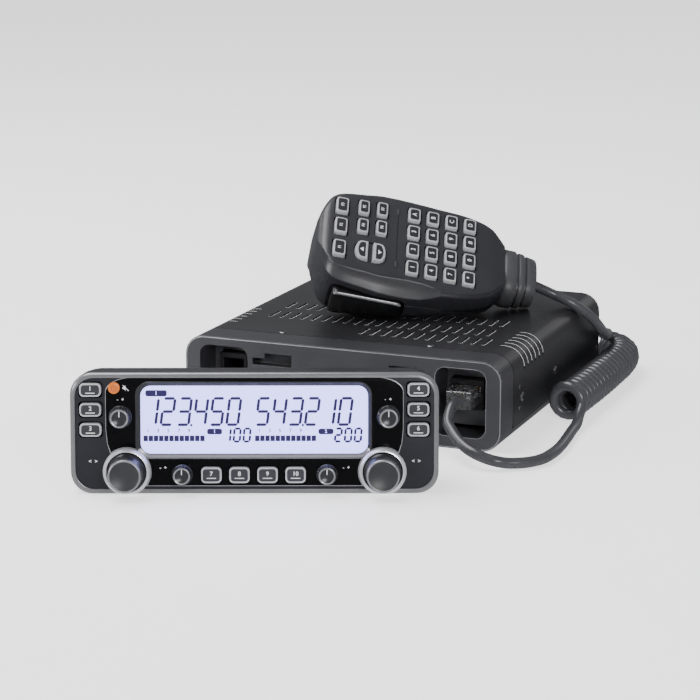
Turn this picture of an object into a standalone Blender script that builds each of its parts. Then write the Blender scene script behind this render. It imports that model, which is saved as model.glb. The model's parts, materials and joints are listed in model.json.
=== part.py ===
"""Mobile transceiver: main unit, detached control head and hand microphone on a curly cord.

Origin: centre of the main unit's underside. +X is the viewer's right, +Y goes to the back, +Z is up.
The control head and the microphone are modelled in frames of their own and placed by empties.
"""
import math

import bmesh
import bpy
from mathutils import Matrix, Vector

MM = 0.001
GAP = 0.3

# Main unit (mm)
UNIT_WIDTH = 150.0
UNIT_DEPTH = 151.0
UNIT_HEIGHT = 40.0
UNIT_CORNER = 9.0
COVER_WALL = 1.6
COVER_SPLIT = 7.0
PANEL_DEPTH = 16.5
FRONT_Y = -UNIT_DEPTH / 2
REAR_Y = UNIT_DEPTH / 2
PANEL_BACK_Y = FRONT_Y + PANEL_DEPTH
BODY_FRONT_Y = PANEL_BACK_Y + GAP

RECESS_INNER_X = 44.5
RECESS_OUTER_X = 67.8
RECESS_LOW_Z = 5.5
RECESS_HIGH_Z = 36.0
JACK_FACE_Y = FRONT_Y + 12.5
PLUG_FRONT_Y = FRONT_Y + 1.0
MIC_JACK = (55.0, 21.5)
HEAD_JACK = (-57.0, 24.0)

VENT_LENGTH = 12.0
VENT_WIDTH = 1.5
VENT_PITCH = 5.32
VENT_ROWS = ((-2.1, -46.5, 12), (-54.0, -29.0, 21), (-54.0, -9.0, 21))
SHOULDER_SLOTS = 6
SHOULDER_PITCH = 5.5
SHOULDER_FRONT_Y = -44.0
FAN_Z = 22.0
FAN_HALF = 15.7
FAN_BORE = 14.6

# Control head (mm)
HEAD_WIDTH = 150.0
HEAD_HEIGHT = 50.0
HEAD_CORNER = 9.0
HEAD_SPLIT = 13.0
HEAD_DEPTH = 27.0
HEAD_LEAN = math.radians(7.0)
HEAD_TURN = math.radians(22.05)
HEAD_PLACE = (0.85, -169.24, 0.0)
HEAD_TAPER = math.tan(HEAD_LEAN)
FLOOR_CLEARANCE = 0.06
LCD_CENTRE = (0.0, 30.5)
LCD_SIZE = (92.2, 27.8)
LCD_CORNER = 4.2
DIAL_X = 52.0
DIAL_Z = 9.4
COLLAR_RADIUS = 9.7
VOLUME_X = 54.3
VOLUME_Z = 32.0
SQUELCH_X = 29.4
SQUELCH_Z = 8.3
SIDE_KEY_X = 66.4
SIDE_KEY_ROWS = (43.0, 34.9, 26.7)
SIDE_KEY_SIZE = (9.1, 5.9)
LOWER_KEY_XS = (-17.6, -6.2, 5.2, 16.6)
LOWER_KEY_Z = 8.1
LOWER_KEY_SIZE = (8.5, 6.9)
POWER_KEY = (-56.8, 43.8, 2.4)

# Hand microphone (mm); x runs from head to tail, z out of the face
MIC_PLACE = (-49.45, -0.45, 56.55)
MIC_TURN = tuple(math.radians(a) for a in (35.09, 12.11, 26.61))
MIC_FACE_Z = 32.5
MIC_SPLIT = 21.5
MIC_WALL = 2.0
KEY_PROUD = 1.4
NUMBER_KEY_X0 = 46.0
NUMBER_KEY_PITCH = (9.0, 11.5)
NUMBER_KEY_SIZE = (6.2, 9.0)
FUNCTION_KEYS = (
    (11.4, -13.2, 6.4, 10.4), (11.4, 1.2, 6.4, 10.4), (11.4, 14.6, 6.4, 10.4),
    (21.8, 3.7, 5.6, 9.6), (21.8, 15.9, 5.6, 9.6),
    (30.6, 4.6, 5.6, 9.6), (30.6, 16.7, 5.6, 9.6),
)
ARROW_KEY_XS = (22.0, 30.2)
ARROW_KEY_Y = -11.7
ARROW_KEY_SIZE = (6.4, 12.0)
BOOT_AXIS_Z = 20.8

# Cord (mm)
CORD_RADIUS = 2.4
COIL_RADIUS = 8.8
PLUG_LEAD_ROUTE = (
    (54.9, -75.5, 21.4), (54.0, -79.5, 20.4), (54.8, -87.0, 15.5), (58.1, -91.2, 12.5),
    (62.2, -95.2, 10.0), (67.2, -98.9, 8.0), (72.3, -101.1, 6.5), (76.8, -101.0, 5.0),
    (81.4, -100.4, 4.0), (85.3, -97.7, 3.0), (89.8, -94.6, 2.7), (93.6, -91.0, 2.7),
    (96.6, -85.4, 2.7), (98.1, -77.4, 2.7), (98.4, -66.5, 2.7), (97.3, -53.4, 2.7),
    (95.6, -38.5, 2.7), (94.6, -28.5, 4.0), (93.0, -22.0, 7.2), (92.2, -18.8, 8.4),
    (92.1, -16.6, 8.8),
)
COIL_ROUTE = (
    (86.0, -15.2, 8.8), (86.7, 8.0, 8.8), (87.1, 30.0, 8.8), (87.0, 50.0, 8.8),
    (86.5, 71.0, 8.8), (84.2, 84.0, 8.8), (78.5, 92.2, 8.8), (70.0, 95.4, 8.8),
)
MIC_LEAD_ROUTE = (
    (52.7, 41.1, 45.5), (58.3, 43.6, 44.7), (66.4, 42.6, 43.0), (73.9, 41.7, 40.2),
    (79.5, 47.3, 34.6), (80.4, 59.0, 26.8), (79.9, 71.0, 20.3), (78.4, 83.0, 18.5),
)


# ---------------------------------------------------------------- scene and materials

def clear_scene():
    for item in list(bpy.data.objects):
        bpy.data.objects.remove(item, do_unlink=True)


def material(name, color, roughness, metallic=0.0):
    """A Principled material with one colour."""
    found = bpy.data.materials.get(name)
    if found:
        return found
    made = bpy.data.materials.new(name)
    made.use_nodes = True
    shader = made.node_tree.nodes["Principled BSDF"]
    shader.inputs["Base Color"].default_value = (*color, 1.0)
    shader.inputs["Roughness"].default_value = roughness
    shader.inputs["Metallic"].default_value = metallic
    made.diffuse_color = (*color, 1.0)
    return made


def charcoal_paint():
    return material("charcoal_paint", (0.045, 0.045, 0.052), 0.5)


def panel_plastic():
    return material("panel_plastic", (0.075, 0.075, 0.085), 0.45)


def head_plastic():
    return material("head_plastic", (0.055, 0.057, 0.065), 0.42)


def gloss_black():
    return material("gloss_black", (0.008, 0.008, 0.010), 0.12)


def mic_plastic():
    return material("mic_plastic", (0.028, 0.028, 0.032), 0.55)


def key_rubber():
    return material("key_rubber", (0.38, 0.38, 0.40), 0.5)


def black_rubber():
    return material("black_rubber", (0.02, 0.02, 0.022), 0.7)


def cord_jacket():
    return material("cord_jacket", (0.06, 0.06, 0.068), 0.5)


def cast_aluminium():
    return material("cast_aluminium", (0.30, 0.30, 0.32), 0.5, 0.9)


def nickel_plate():
    return material("nickel_plate", (0.62, 0.61, 0.58), 0.28, 1.0)


def circuit_board():
    return material("circuit_board", (0.02, 0.13, 0.06), 0.45)


def black_nylon():
    return material("black_nylon", (0.015, 0.015, 0.017), 0.6)


def clear_plastic():
    return material("clear_plastic", (0.72, 0.74, 0.76), 0.1)


def lit_display():
    return material("lit_display", (0.70, 0.71, 0.90), 0.3)


def orange_key():
    return material("orange_key", (0.85, 0.20, 0.03), 0.35)


# ---------------------------------------------------------------- shape helpers

def arc(cx, cy, radius, start, end, steps):
    """Points along an arc, angles in degrees, both ends included."""
    points = []
    for i in range(steps + 1):
        angle = math.radians(start + (end - start) * i / steps)
        points.append((cx + radius * math.cos(angle), cy + radius * math.sin(angle)))
    return points


def rounded_rectangle(x0, x1, y0, y1, radius, steps=4):
    """Outline of a rectangle with round corners, anticlockwise."""
    return (arc(x1 - radius, y1 - radius, radius, 0, 90, steps)
            + arc(x0 + radius, y1 - radius, radius, 90, 180, steps)
            + arc(x0 + radius, y0 + radius, radius, 180, 270, steps)
            + arc(x1 - radius, y0 + radius, radius, 270, 360, steps))


def smooth_curve(route, steps):
    """Points on a Catmull-Rom curve that passes through every route point."""
    guide = [Vector(p) for p in route]
    guide = [guide[0] * 2 - guide[1]] + guide + [guide[-1] * 2 - guide[-2]]
    points = []
    for i in range(1, len(guide) - 2):
        a, b, c, d = guide[i - 1:i + 3]
        for k in range(steps):
            t = k / steps
            points.append(0.5 * (2 * b + (c - a) * t + (2 * a - 5 * b + 4 * c - d) * t ** 2
                                 + (3 * b - a - 3 * c + d) * t ** 3))
    points.append(guide[-2])
    return points


def evenly_spaced(points, spacing):
    """The same curve with its points about one spacing apart."""
    lengths = [0.0]
    for a, b in zip(points, points[1:]):
        lengths.append(lengths[-1] + (b - a).length)
    count = max(2, round(lengths[-1] / spacing))
    result = []
    k = 0
    for i in range(count + 1):
        target = lengths[-1] * i / count
        while k < len(points) - 2 and lengths[k + 1] < target:
            k += 1
        share = (target - lengths[k]) / (lengths[k + 1] - lengths[k])
        result.append(points[k].lerp(points[k + 1], min(1.0, share)))
    return result


def finish_mesh(name, bm):
    """Millimetre bmesh to a mesh in metres with its faces pointing out."""
    bmesh.ops.remove_doubles(bm, verts=bm.verts, dist=1e-5)
    bmesh.ops.scale(bm, vec=(MM, MM, MM), verts=bm.verts)
    bmesh.ops.recalc_face_normals(bm, faces=bm.faces)
    mesh = bpy.data.meshes.new(name)
    bm.to_mesh(mesh)
    bm.free()
    return mesh


def add_object(name, mesh, surface=None, parent=None, place=(0, 0, 0)):
    item = bpy.data.objects.new(name, mesh)
    bpy.context.collection.objects.link(item)
    item.parent = parent
    item.location = Vector(place) * MM
    if surface:
        mesh.materials.append(surface)
    return item


def smooth(item, angle=35):
    item.data.shade_smooth()
    item.data.set_sharp_from_angle(angle=math.radians(angle))
    return item


def add_loft(bm, rings):
    """Join rings of equal point counts into one closed body inside a bmesh."""
    loops = [[bm.verts.new(p) for p in ring] for ring in rings]
    count = len(loops[0])
    for low, high in zip(loops, loops[1:]):
        for i in range(count):
            j = (i + 1) % count
            bm.faces.new((low[i], low[j], high[j], high[i]))
    bm.faces.new(list(reversed(loops[0])))
    bm.faces.new(loops[-1])


def loft_mesh(name, rings):
    bm = bmesh.new()
    add_loft(bm, rings)
    return finish_mesh(name, bm)


def prism_along_y(name, outline, y0, y1):
    """Extrude an outline of (x, z) points from y0 to y1."""
    return loft_mesh(name, [[(x, y, z) for x, z in outline] for y in (y0, y1)])


def prism_along_z(name, outline, z0, z1):
    return loft_mesh(name, [[(x, y, z) for x, y in outline] for z in (z0, z1)])


def add_box(bm, x0, x1, y0, y1, z0, z1):
    corners = ((x0, y0), (x1, y0), (x1, y1), (x0, y1))
    add_loft(bm, [[(x, y, z) for x, y in corners] for z in (z0, z1)])


def box_mesh(name, *boxes):
    """One mesh of boxes, each given as x0, x1, y0, y1, z0, z1."""
    bm = bmesh.new()
    for box in boxes:
        add_box(bm, *box)
    return finish_mesh(name, bm)


def turned_mesh(name, profile, steps, axis="Z"):
    """Turn a closed half profile of (radius, height) points around an axis."""
    bm = bmesh.new()
    rings = []
    for i in range(steps):
        angle = 2 * math.pi * i / steps
        ring = []
        for radius, height in profile:
            a, b = radius * math.cos(angle), radius * math.sin(angle)
            point = {"Z": (a, b, height), "Y": (a, height, b), "X": (height, a, b)}[axis]
            ring.append(bm.verts.new(point))
        rings.append(ring)
    count = len(profile)
    for i in range(steps):
        here, there = rings[i], rings[(i + 1) % steps]
        for j in range(count):
            k = (j + 1) % count
            if profile[j][0] == 0 and profile[k][0] == 0:
                continue
            corners = [here[j], here[k]]
            if profile[k][0] > 0:
                corners.append(there[k])
            if profile[j][0] > 0:
                corners.append(there[j])
            bm.faces.new(corners)
    return finish_mesh(name, bm)


def disc(name, radius, y0, y1, steps=24, place=(0, 0)):
    """A round bar along Y at an (x, z) place."""
    outline = arc(place[0], place[1], radius, 0, 360 - 360 / steps, steps - 1)
    return prism_along_y(name, outline, y0, y1)


def ring_mesh(name, outer, inner, y0, y1, z):
    """A flat ring along Y, centred on x = 0 at height z."""
    profile = ((inner, y0), (outer, y0), (outer, y1), (inner, y1))
    mesh = turned_mesh(name, profile, 32, "Y")
    mesh.transform(Matrix.Translation((0, 0, z * MM)))
    return mesh


def combine(target, mesh, operation):
    """Cut a hidden tool shape out of the target, or join it on."""
    tool = add_object(mesh.name + "_tool", mesh, parent=target.parent)
    tool.location = target.location
    tool.hide_render = True
    tool.display_type = "WIRE"
    modifier = target.modifiers.new(mesh.name, "BOOLEAN")
    modifier.operation = operation
    modifier.object = tool
    modifier.solver = "EXACT"


def cut(target, mesh):
    combine(target, mesh, "DIFFERENCE")


def weld(target, mesh):
    combine(target, mesh, "UNION")


# ---------------------------------------------------------------- main unit

def unit_outline(inset=0.0):
    half = UNIT_WIDTH / 2 - inset
    return rounded_rectangle(-half, half, inset, UNIT_HEIGHT - inset, UNIT_CORNER - inset, 6)


def channel_outline(split, low_half):
    """Cross-section of a cover: the unit's outline on one side of the split, one wall thick."""
    kept = []
    for inset in (0.0, COVER_WALL):
        half = UNIT_WIDTH / 2 - inset
        radius = UNIT_CORNER - inset
        if low_half:
            centre_z = UNIT_CORNER
            side = [(-half, split)] if split > centre_z else []
            arcs = (arc(-half + radius, centre_z, radius, 180, 270, 6)
                    + arc(half - radius, centre_z, radius, 270, 360, 6))
            path = side + arcs + [(x * -1, z) for x, z in side]
            path = clip_below(path, split)
        else:
            centre_z = UNIT_HEIGHT - UNIT_CORNER
            path = ([(-half, split)]
                    + arc(-half + radius, centre_z, radius, 180, 90, 6)
                    + arc(half - radius, centre_z, radius, 90, 0, 6)
                    + [(half, split)])
        kept.append(path)
    return kept[0] + list(reversed(kept[1]))


def clip_below(path, split):
    """Keep the part of a path that lies below the split, with a point on the split at each end."""
    result = []
    for a, b in zip(path, path[1:]):
        if a[1] <= split:
            result.append(a)
        if (a[1] - split) * (b[1] - split) < 0:
            share = (split - a[1]) / (b[1] - a[1])
            result.append((a[0] + (b[0] - a[0]) * share, split))
    if path[-1][1] <= split:
        result.append(path[-1])
    return result


def make_front_panel():
    panel = add_object("front_panel",
                       prism_along_y("front_panel", unit_outline(), FRONT_Y, PANEL_BACK_Y),
                       panel_plastic())
    for side, name in ((1, "right_recess"), (-1, "left_recess")):
        xs = sorted((side * RECESS_INNER_X, side * RECESS_OUTER_X))
        outline = rounded_rectangle(*xs, RECESS_LOW_Z, RECESS_HIGH_Z, 4.5)
        cut(panel, prism_along_y(name, outline, FRONT_Y - 1, PANEL_BACK_Y + 1))
    notches = []
    for side in (1, -1):
        for near, far, low, high in ((23.2, 36.0, 29.0, 34.4), (35.0, 42.0, 29.0, 32.0)):
            x0, x1 = sorted((side * near, side * far))
            notches.append((x0, x1, FRONT_Y - 1, FRONT_Y + 4.0, low, high))
    for index, notch in enumerate(notches):
        cut(panel, box_mesh(f"latch_notch_{index}", notch))
    hollow = (-40, 40, FRONT_Y + 6.0, PANEL_BACK_Y + 1, 3.0, 37.0)
    cut(panel, box_mesh("panel_hollow", hollow))


def vent_boxes():
    """Rows of slots through the cover's flat top, running from front to back."""
    boxes = []
    for x_start, y_start, count in VENT_ROWS:
        for i in range(count):
            x = x_start + i * VENT_PITCH
            boxes.append((x - VENT_WIDTH / 2, x + VENT_WIDTH / 2, y_start, y_start + VENT_LENGTH,
                          UNIT_HEIGHT - COVER_WALL - 1, UNIT_HEIGHT + 1))
    return boxes


def shoulder_boxes():
    """Slots that wrap round both top shoulders of the cover."""
    boxes = []
    half = UNIT_WIDTH / 2
    for side in (1, -1):
        for i in range(SHOULDER_SLOTS):
            y = SHOULDER_FRONT_Y + i * SHOULDER_PITCH
            xs = sorted((side * (half - 11.3), side * (half + 1)))
            boxes.append((*xs, y - 0.7, y + 0.7, 30.4, UNIT_HEIGHT + 1))
    return boxes


def make_covers():
    outline = channel_outline(COVER_SPLIT + GAP / 2, False)
    top = add_object("top_cover", prism_along_y("top_cover", outline, BODY_FRONT_Y, REAR_Y),
                     charcoal_paint())
    cut(top, box_mesh("vents", *vent_boxes()))
    cut(top, box_mesh("shoulder_vents", *shoulder_boxes()))
    outline = channel_outline(COVER_SPLIT - GAP / 2, True)
    add_object("bottom_cover", prism_along_y("bottom_cover", outline, BODY_FRONT_Y, REAR_Y),
               charcoal_paint())


def make_chassis():
    """Die-cast tray between the covers, with walls that carry the jacks and sockets."""
    inset = COVER_WALL + GAP
    body = add_object("chassis",
                      prism_along_y("chassis", unit_outline(inset), BODY_FRONT_Y, REAR_Y - 0.5),
                      cast_aluminium())
    half = UNIT_WIDTH / 2 - inset - 3.0
    room = (-half, half, BODY_FRONT_Y + 3.0, REAR_Y - 4.0, inset + 4.0, UNIT_HEIGHT + 1)
    cut(body, box_mesh("chassis_room", room))
    for name, (x, z), w, h in (("mic_jack_hole", MIC_JACK, 15.4, 13.6),
                               ("head_jack_hole", HEAD_JACK, 13.4, 12.0)):
        hole = (x - w / 2 - GAP, x + w / 2 + GAP, BODY_FRONT_Y - 1, BODY_FRONT_Y + 4,
                z - h / 2 - GAP, z + h / 2 + GAP)
        cut(body, box_mesh(name, hole))
    cut(body, disc("fan_hole", FAN_BORE, REAR_Y - 6, REAR_Y + 1, 32, (0, FAN_Z)))
    cut(body, disc("antenna_hole", 5.8, REAR_Y - 6, REAR_Y + 1, 16, (52, 21)))
    cut(body, disc("data_hole", 5.8, REAR_Y - 6, REAR_Y + 1, 16, (29, 27)))
    for index, x in enumerate((-27, -38)):
        cut(body, disc(f"speaker_hole_{index}", 4.3, REAR_Y - 6, REAR_Y + 1, 16, (x, 27)))
    hole = (-66.3, -46.7, REAR_Y - 6, REAR_Y + 1, 11.7, 27.3)
    cut(body, box_mesh("power_hole", hole))
    smooth(body)


def make_unit_insides():
    add_object("main_board", box_mesh("main_board", (-66, 66, -42, 48, 20.0, 21.6)),
               circuit_board())
    add_object("shield_can", box_mesh("shield_can", (-58, -14, -34, 16, 22.0, 29.5)),
               nickel_plate())
    add_object("power_module", box_mesh("power_module", (-34, 34, -20, 6, 6.3, 15.5)),
               black_nylon())
    profile = ((0, 27), (13, 27), (13, 31), (24, 34.5), (24, 37.2), (22, 37.2), (8, 33.5), (0, 33.5))
    speaker = add_object("speaker", turned_mesh("speaker", profile, 28), black_nylon(),
                         place=(34, -29.5, 0))
    smooth(speaker)


def make_fan():
    y0, y1 = REAR_Y - 15.5, REAR_Y - 4.5
    low, high = FAN_Z - FAN_HALF, FAN_Z + FAN_HALF
    frame = add_object("fan_frame", box_mesh("fan_frame", (-FAN_HALF, FAN_HALF, y0, y1, low, high)),
                       black_nylon())
    cut(frame, disc("fan_duct", FAN_BORE, y0 - 1, y1 + 1, 32, (0, FAN_Z)))
    weld(frame, box_mesh("fan_spoke_up", (-1.2, 1.2, y0, y0 + 2, low + 0.2, high - 0.2)))
    weld(frame, box_mesh("fan_spoke_across", (0.2 - FAN_HALF, FAN_HALF - 0.2, y0, y0 + 2,
                                              FAN_Z - 1.2, FAN_Z + 1.2)))
    weld(frame, disc("fan_motor", 6.5, y0, y0 + 3, 24, (0, FAN_Z)))
    make_fan_rotor(y0 + 3 + GAP, y1 - 0.6)
    guard = add_object("fan_guard", disc("fan_guard", 16.5, REAR_Y + GAP, REAR_Y + 1.7, 32, (0, FAN_Z)),
                       nickel_plate())
    for index, (outer, inner) in enumerate(((15.2, 11.4), (10.0, 6.2))):
        cut(guard, ring_mesh(f"guard_gap_{index}", outer, inner, REAR_Y - 1, REAR_Y + 3, FAN_Z))
    weld(guard, box_mesh("guard_bar_up", (-0.8, 0.8, REAR_Y + 0.4, REAR_Y + 1.6,
                                          FAN_Z - 15.6, FAN_Z + 15.6)))
    weld(guard, box_mesh("guard_bar_across", (-15.6, 15.6, REAR_Y + 0.4, REAR_Y + 1.6,
                                              FAN_Z - 0.8, FAN_Z + 0.8)))


def make_fan_rotor(y0, y1):
    """Seven blades round a hub; the origin is on the fan's axis."""
    hub_radius, tip_radius, blades = 6.2, 13.9, 7
    depth = y1 - y0
    profile = ((0, 0), (hub_radius, 0), (hub_radius, depth), (0, depth))
    rotor = add_object("fan_rotor", turned_mesh("fan_rotor", profile, 21, "Y"), black_nylon(),
                       place=(0, y0, FAN_Z))
    bm = bmesh.new()
    for i in range(blades):
        turn = 2 * math.pi * i / blades
        rings = []
        for radius in (hub_radius - 1.0, tip_radius):
            ring = []
            for y, lead, thick in ((0.6, -2.6, -0.6), (depth - 0.6, 2.6, -0.6),
                                   (depth - 0.6, 2.6, 0.6), (0.6, -2.6, 0.6)):
                swing = turn + (lead + thick) / tip_radius
                ring.append((radius * math.cos(swing), y, radius * math.sin(swing)))
            rings.append(ring)
        add_loft(bm, rings)
    bmesh.ops.triangulate(bm, faces=bm.faces)
    weld(rotor, finish_mesh("rotor_blades", bm))


def make_rear_sockets():
    flange = (-10, 10, 0, 2.0, -10, 10)
    antenna = add_object("antenna_socket", box_mesh("antenna_socket", flange), nickel_plate(),
                         place=(52, REAR_Y - 0.2, 21))
    profile = ((0, -9), (5.4, -9), (5.4, 1), (7.9, 1), (7.9, 13.5), (6.8, 13.5), (6.8, 9.5),
               (4.0, 9.5), (4.0, 12), (1.9, 12), (1.9, 4), (0, 4))
    weld(antenna, turned_mesh("antenna_barrel", profile, 24, "Y"))
    smooth(antenna)
    profile = ((0, -7), (5.4, -7), (5.4, 1.4), (4.7, 1.4), (4.7, -5), (1.6, -5), (1.6, -0.5), (0, -0.5))
    data = add_object("data_socket", turned_mesh("data_socket", profile, 24, "Y"), black_nylon(),
                      place=(29, REAR_Y, 27))
    smooth(data)
    for letter, x in (("a", -27), ("b", -38)):
        profile = ((0, -13), (3.9, -13), (3.9, 1.6), (1.9, 1.6), (1.9, -11), (0, -11))
        jack = add_object(f"speaker_jack_{letter}",
                          turned_mesh(f"speaker_jack_{letter}", profile, 20, "Y"), nickel_plate(),
                          place=(x, REAR_Y, 27))
        smooth(jack)
    inlet = add_object("power_inlet",
                       box_mesh("power_inlet", (-66, -47, REAR_Y - 16, REAR_Y + 2, 12.0, 27.0)),
                       black_nylon())
    socket = (-64.2, -48.8, REAR_Y - 10, REAR_Y + 3, 13.8, 25.2)
    cut(inlet, box_mesh("power_socket", socket))
    blades = [(x - 0.7, x + 0.7, REAR_Y - 11, REAR_Y - 1.5, 14.6, 19.0) for x in (-60.5, -52.5)]
    for index, blade in enumerate(blades):
        weld(inlet, box_mesh(f"power_blade_{index}", blade))


def modular_jack(name, place, width, height, socket_width, socket_height):
    """A modular jack with its socket open to the front and a latch slot below."""
    x, z = place
    y0 = JACK_FACE_Y
    body = add_object(name, box_mesh(name, (x - width / 2, x + width / 2, y0, y0 + 17,
                                            z - height / 2, z + height / 2)), black_nylon())
    half = socket_width / 2
    cut(body, box_mesh(name + "_socket", (x - half, x + half, y0 - 1, y0 + 13,
                                          z - socket_height / 2, z + socket_height / 2)))
    cut(body, box_mesh(name + "_latch", (x - 3.3, x + 3.3, y0 - 1, y0 + 9,
                                         z - socket_height / 2 - 1.9, z - 1)))


def make_front_jacks():
    modular_jack("microphone_jack", MIC_JACK, 15.4, 13.6, 12.2, 8.5)
    modular_jack("head_jack", HEAD_JACK, 13.4, 12.0, 9.9, 6.9)


# ---------------------------------------------------------------- cord and plug

def cord_tube(name, route, radius, spacing, sides):
    """A plain round tube along a smooth curve."""
    points = evenly_spaced(smooth_curve(route, 12), spacing)
    curve = bpy.data.curves.new(name, "CURVE")
    curve.dimensions = "3D"
    curve.bevel_depth = radius * MM
    curve.bevel_resolution = sides
    curve.use_fill_caps = True
    spline = curve.splines.new("POLY")
    spline.points.add(len(points) - 1)
    for slot, point in zip(spline.points, points):
        slot.co = (*(point * MM), 1.0)
    item = bpy.data.objects.new(name, curve)
    bpy.context.collection.objects.link(item)
    curve.materials.append(cord_jacket())
    return item


def make_cord():
    x, z = MIC_JACK
    y0 = PLUG_FRONT_Y
    plug = add_object("mic_plug", box_mesh("mic_plug", (x - 5.7, x + 5.7, y0, y0 + 21,
                                                        z - 3.95, z + 3.95)), clear_plastic())
    weld(plug, box_mesh("plug_latch", (x - 2.8, x + 2.8, y0 + 3.5, y0 + 19, z - 5.4, z - 3)))
    cord_tube("plug_lead", PLUG_LEAD_ROUTE, CORD_RADIUS, 6.5, 2)
    cord_tube("cord_coil", COIL_ROUTE, COIL_RADIUS, 10.0, 4)
    cord_tube("mic_lead", MIC_LEAD_ROUTE, CORD_RADIUS, 6.0, 2)


# ---------------------------------------------------------------- control head

def head_ring(y, inset, radius, clearance=FLOOR_CLEARANCE):
    """Rounded rectangle of the head's section at depth y; the underside rises to the back."""
    rise = HEAD_TAPER * max(0.0, y) + clearance
    half = HEAD_WIDTH / 2 - inset - 0.12 * max(0.0, y)
    top = HEAD_HEIGHT - 0.02 * max(0.0, y) - inset
    outline = rounded_rectangle(-half, half, rise + inset, top, radius, 5)
    return [(x, y, z) for x, z in outline]


def key_hole(x, z, width, height, y0, y1):
    clear = 0.35
    return (x - width / 2 - clear, x + width / 2 + clear, y0, y1,
            z - height / 2 - clear, z + height / 2 + clear)


def side_key_places():
    return [(side, row, side * SIDE_KEY_X, z)
            for side in (-1, 1) for row, z in enumerate(SIDE_KEY_ROWS)]


def gloss_outline(grow=0.0):
    """The gloss panel: wide above, and hollowed at the bottom round the two dial collars."""
    top, bottom = 48.0 + grow, 3.5 - grow
    side = 60.3 + grow
    radius = COLLAR_RADIUS + 0.5 - grow
    drop = math.degrees(math.asin((DIAL_Z - bottom) / radius))
    right = arc(DIAL_X, DIAL_Z, radius, 180 + drop, 50 - 13 * grow, 10) + [(side, 25.0)]
    right += [(side - 10 + 10 * c, top - 5 + 5 * s) for c, s in arc(0, 0, 1, 0, 90, 5)]
    left = [(-x, z) for x, z in reversed(right)]
    return right + left


def make_head_cases(parent):
    rings = [head_ring(0.0, 1.0, 8.0), head_ring(1.0, 0.0, HEAD_CORNER),
             head_ring(HEAD_SPLIT, 0.0, HEAD_CORNER - 1)]
    front = add_object("head_front_case", loft_mesh("head_front_case", rings), head_plastic(), parent)
    inside = [head_ring(3.4, 1.6, 5.5), head_ring(HEAD_SPLIT + 1, 1.6, 5.5)]
    cut(front, loft_mesh("front_case_room", inside))
    cut(front, prism_along_y("gloss_seat", gloss_outline(0.3), -1.0, 1.5))
    window = rounded_rectangle(-44.0, 44.0, 18.6, 42.4, 3.0)
    cut(front, prism_along_y("view_window", window, 0.5, 4.5))
    for side, row, x, z in side_key_places():
        cut(front, box_mesh(f"side_hole_{side + 1}_{row}", key_hole(x, z, *SIDE_KEY_SIZE, -1, 5)))
    for index, x in enumerate(LOWER_KEY_XS):
        cut(front, box_mesh(f"low_hole_{index}", key_hole(x, LOWER_KEY_Z, *LOWER_KEY_SIZE, -1, 5)))
    holes = [("power_hole_f", POWER_KEY[0], POWER_KEY[1], POWER_KEY[2] + 0.35)]
    for side in (-1, 1):
        holes.append((f"dial_hole_{side + 1}", side * DIAL_X, DIAL_Z, 3.6))
        holes.append((f"volume_hole_{side + 1}", side * VOLUME_X, VOLUME_Z, 2.4))
        holes.append((f"squelch_hole_{side + 1}", side * SQUELCH_X, SQUELCH_Z, 2.4))
    for name, x, z, radius in holes:
        cut(front, disc(name, radius, -1, 5, 16, (x, z)))
    for side in (-1, 1):
        ring = ring_mesh(f"collar_{side + 1}", COLLAR_RADIUS, 8.2, -1.8, 0.8, DIAL_Z)
        ring.transform(Matrix.Translation((side * DIAL_X * MM, 0, 0)))
        weld(front, ring)
    cut(front, box_mesh("collar_trim", (-80, 80, -4, 0.9, -4, 0.45)))
    smooth(front)

    rings = [head_ring(HEAD_SPLIT + GAP, 0.0, HEAD_CORNER - 1), head_ring(HEAD_DEPTH - 2, 0.6, 7.0),
             head_ring(HEAD_DEPTH, 2.6, 6.0)]
    rear = add_object("head_rear_case", loft_mesh("head_rear_case", rings), head_plastic(), parent)
    inside = [head_ring(HEAD_SPLIT - 1, 2.0, 6.0), head_ring(HEAD_DEPTH - 2.6, 3.0, 5.0)]
    cut(rear, loft_mesh("rear_case_room", inside))
    cut(rear, box_mesh("remote_hole", (-37.3, -22.7, HEAD_DEPTH - 5, HEAD_DEPTH + 1, 17.7, 32.3)))
    smooth(rear)


def make_gloss_panel(parent):
    panel = add_object("gloss_panel", prism_along_y("gloss_panel", gloss_outline(), 0.1, 1.2),
                       gloss_black(), parent)
    width, height = LCD_SIZE
    x0, x1 = LCD_CENTRE[0] - width / 2 - GAP, LCD_CENTRE[0] + width / 2 + GAP
    z0, z1 = LCD_CENTRE[1] - height / 2 - GAP, LCD_CENTRE[1] + height / 2 + GAP
    cut(panel, prism_along_y("panel_window", rounded_rectangle(x0, x1, z0, z1, LCD_CORNER + GAP), -1, 2))
    for index, x in enumerate(LOWER_KEY_XS):
        cut(panel, box_mesh(f"panel_key_{index}", key_hole(x, LOWER_KEY_Z, *LOWER_KEY_SIZE, -1, 2)))
    cut(panel, disc("panel_power", POWER_KEY[2] + 0.35, -1, 2, 16, POWER_KEY[:2]))
    for side in (-1, 1):
        for name, x, z in (("volume", VOLUME_X, VOLUME_Z), ("squelch", SQUELCH_X, SQUELCH_Z)):
            cut(panel, disc(f"panel_{name}_{side + 1}", 2.4, -1, 2, 16, (side * x, z)))


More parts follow.
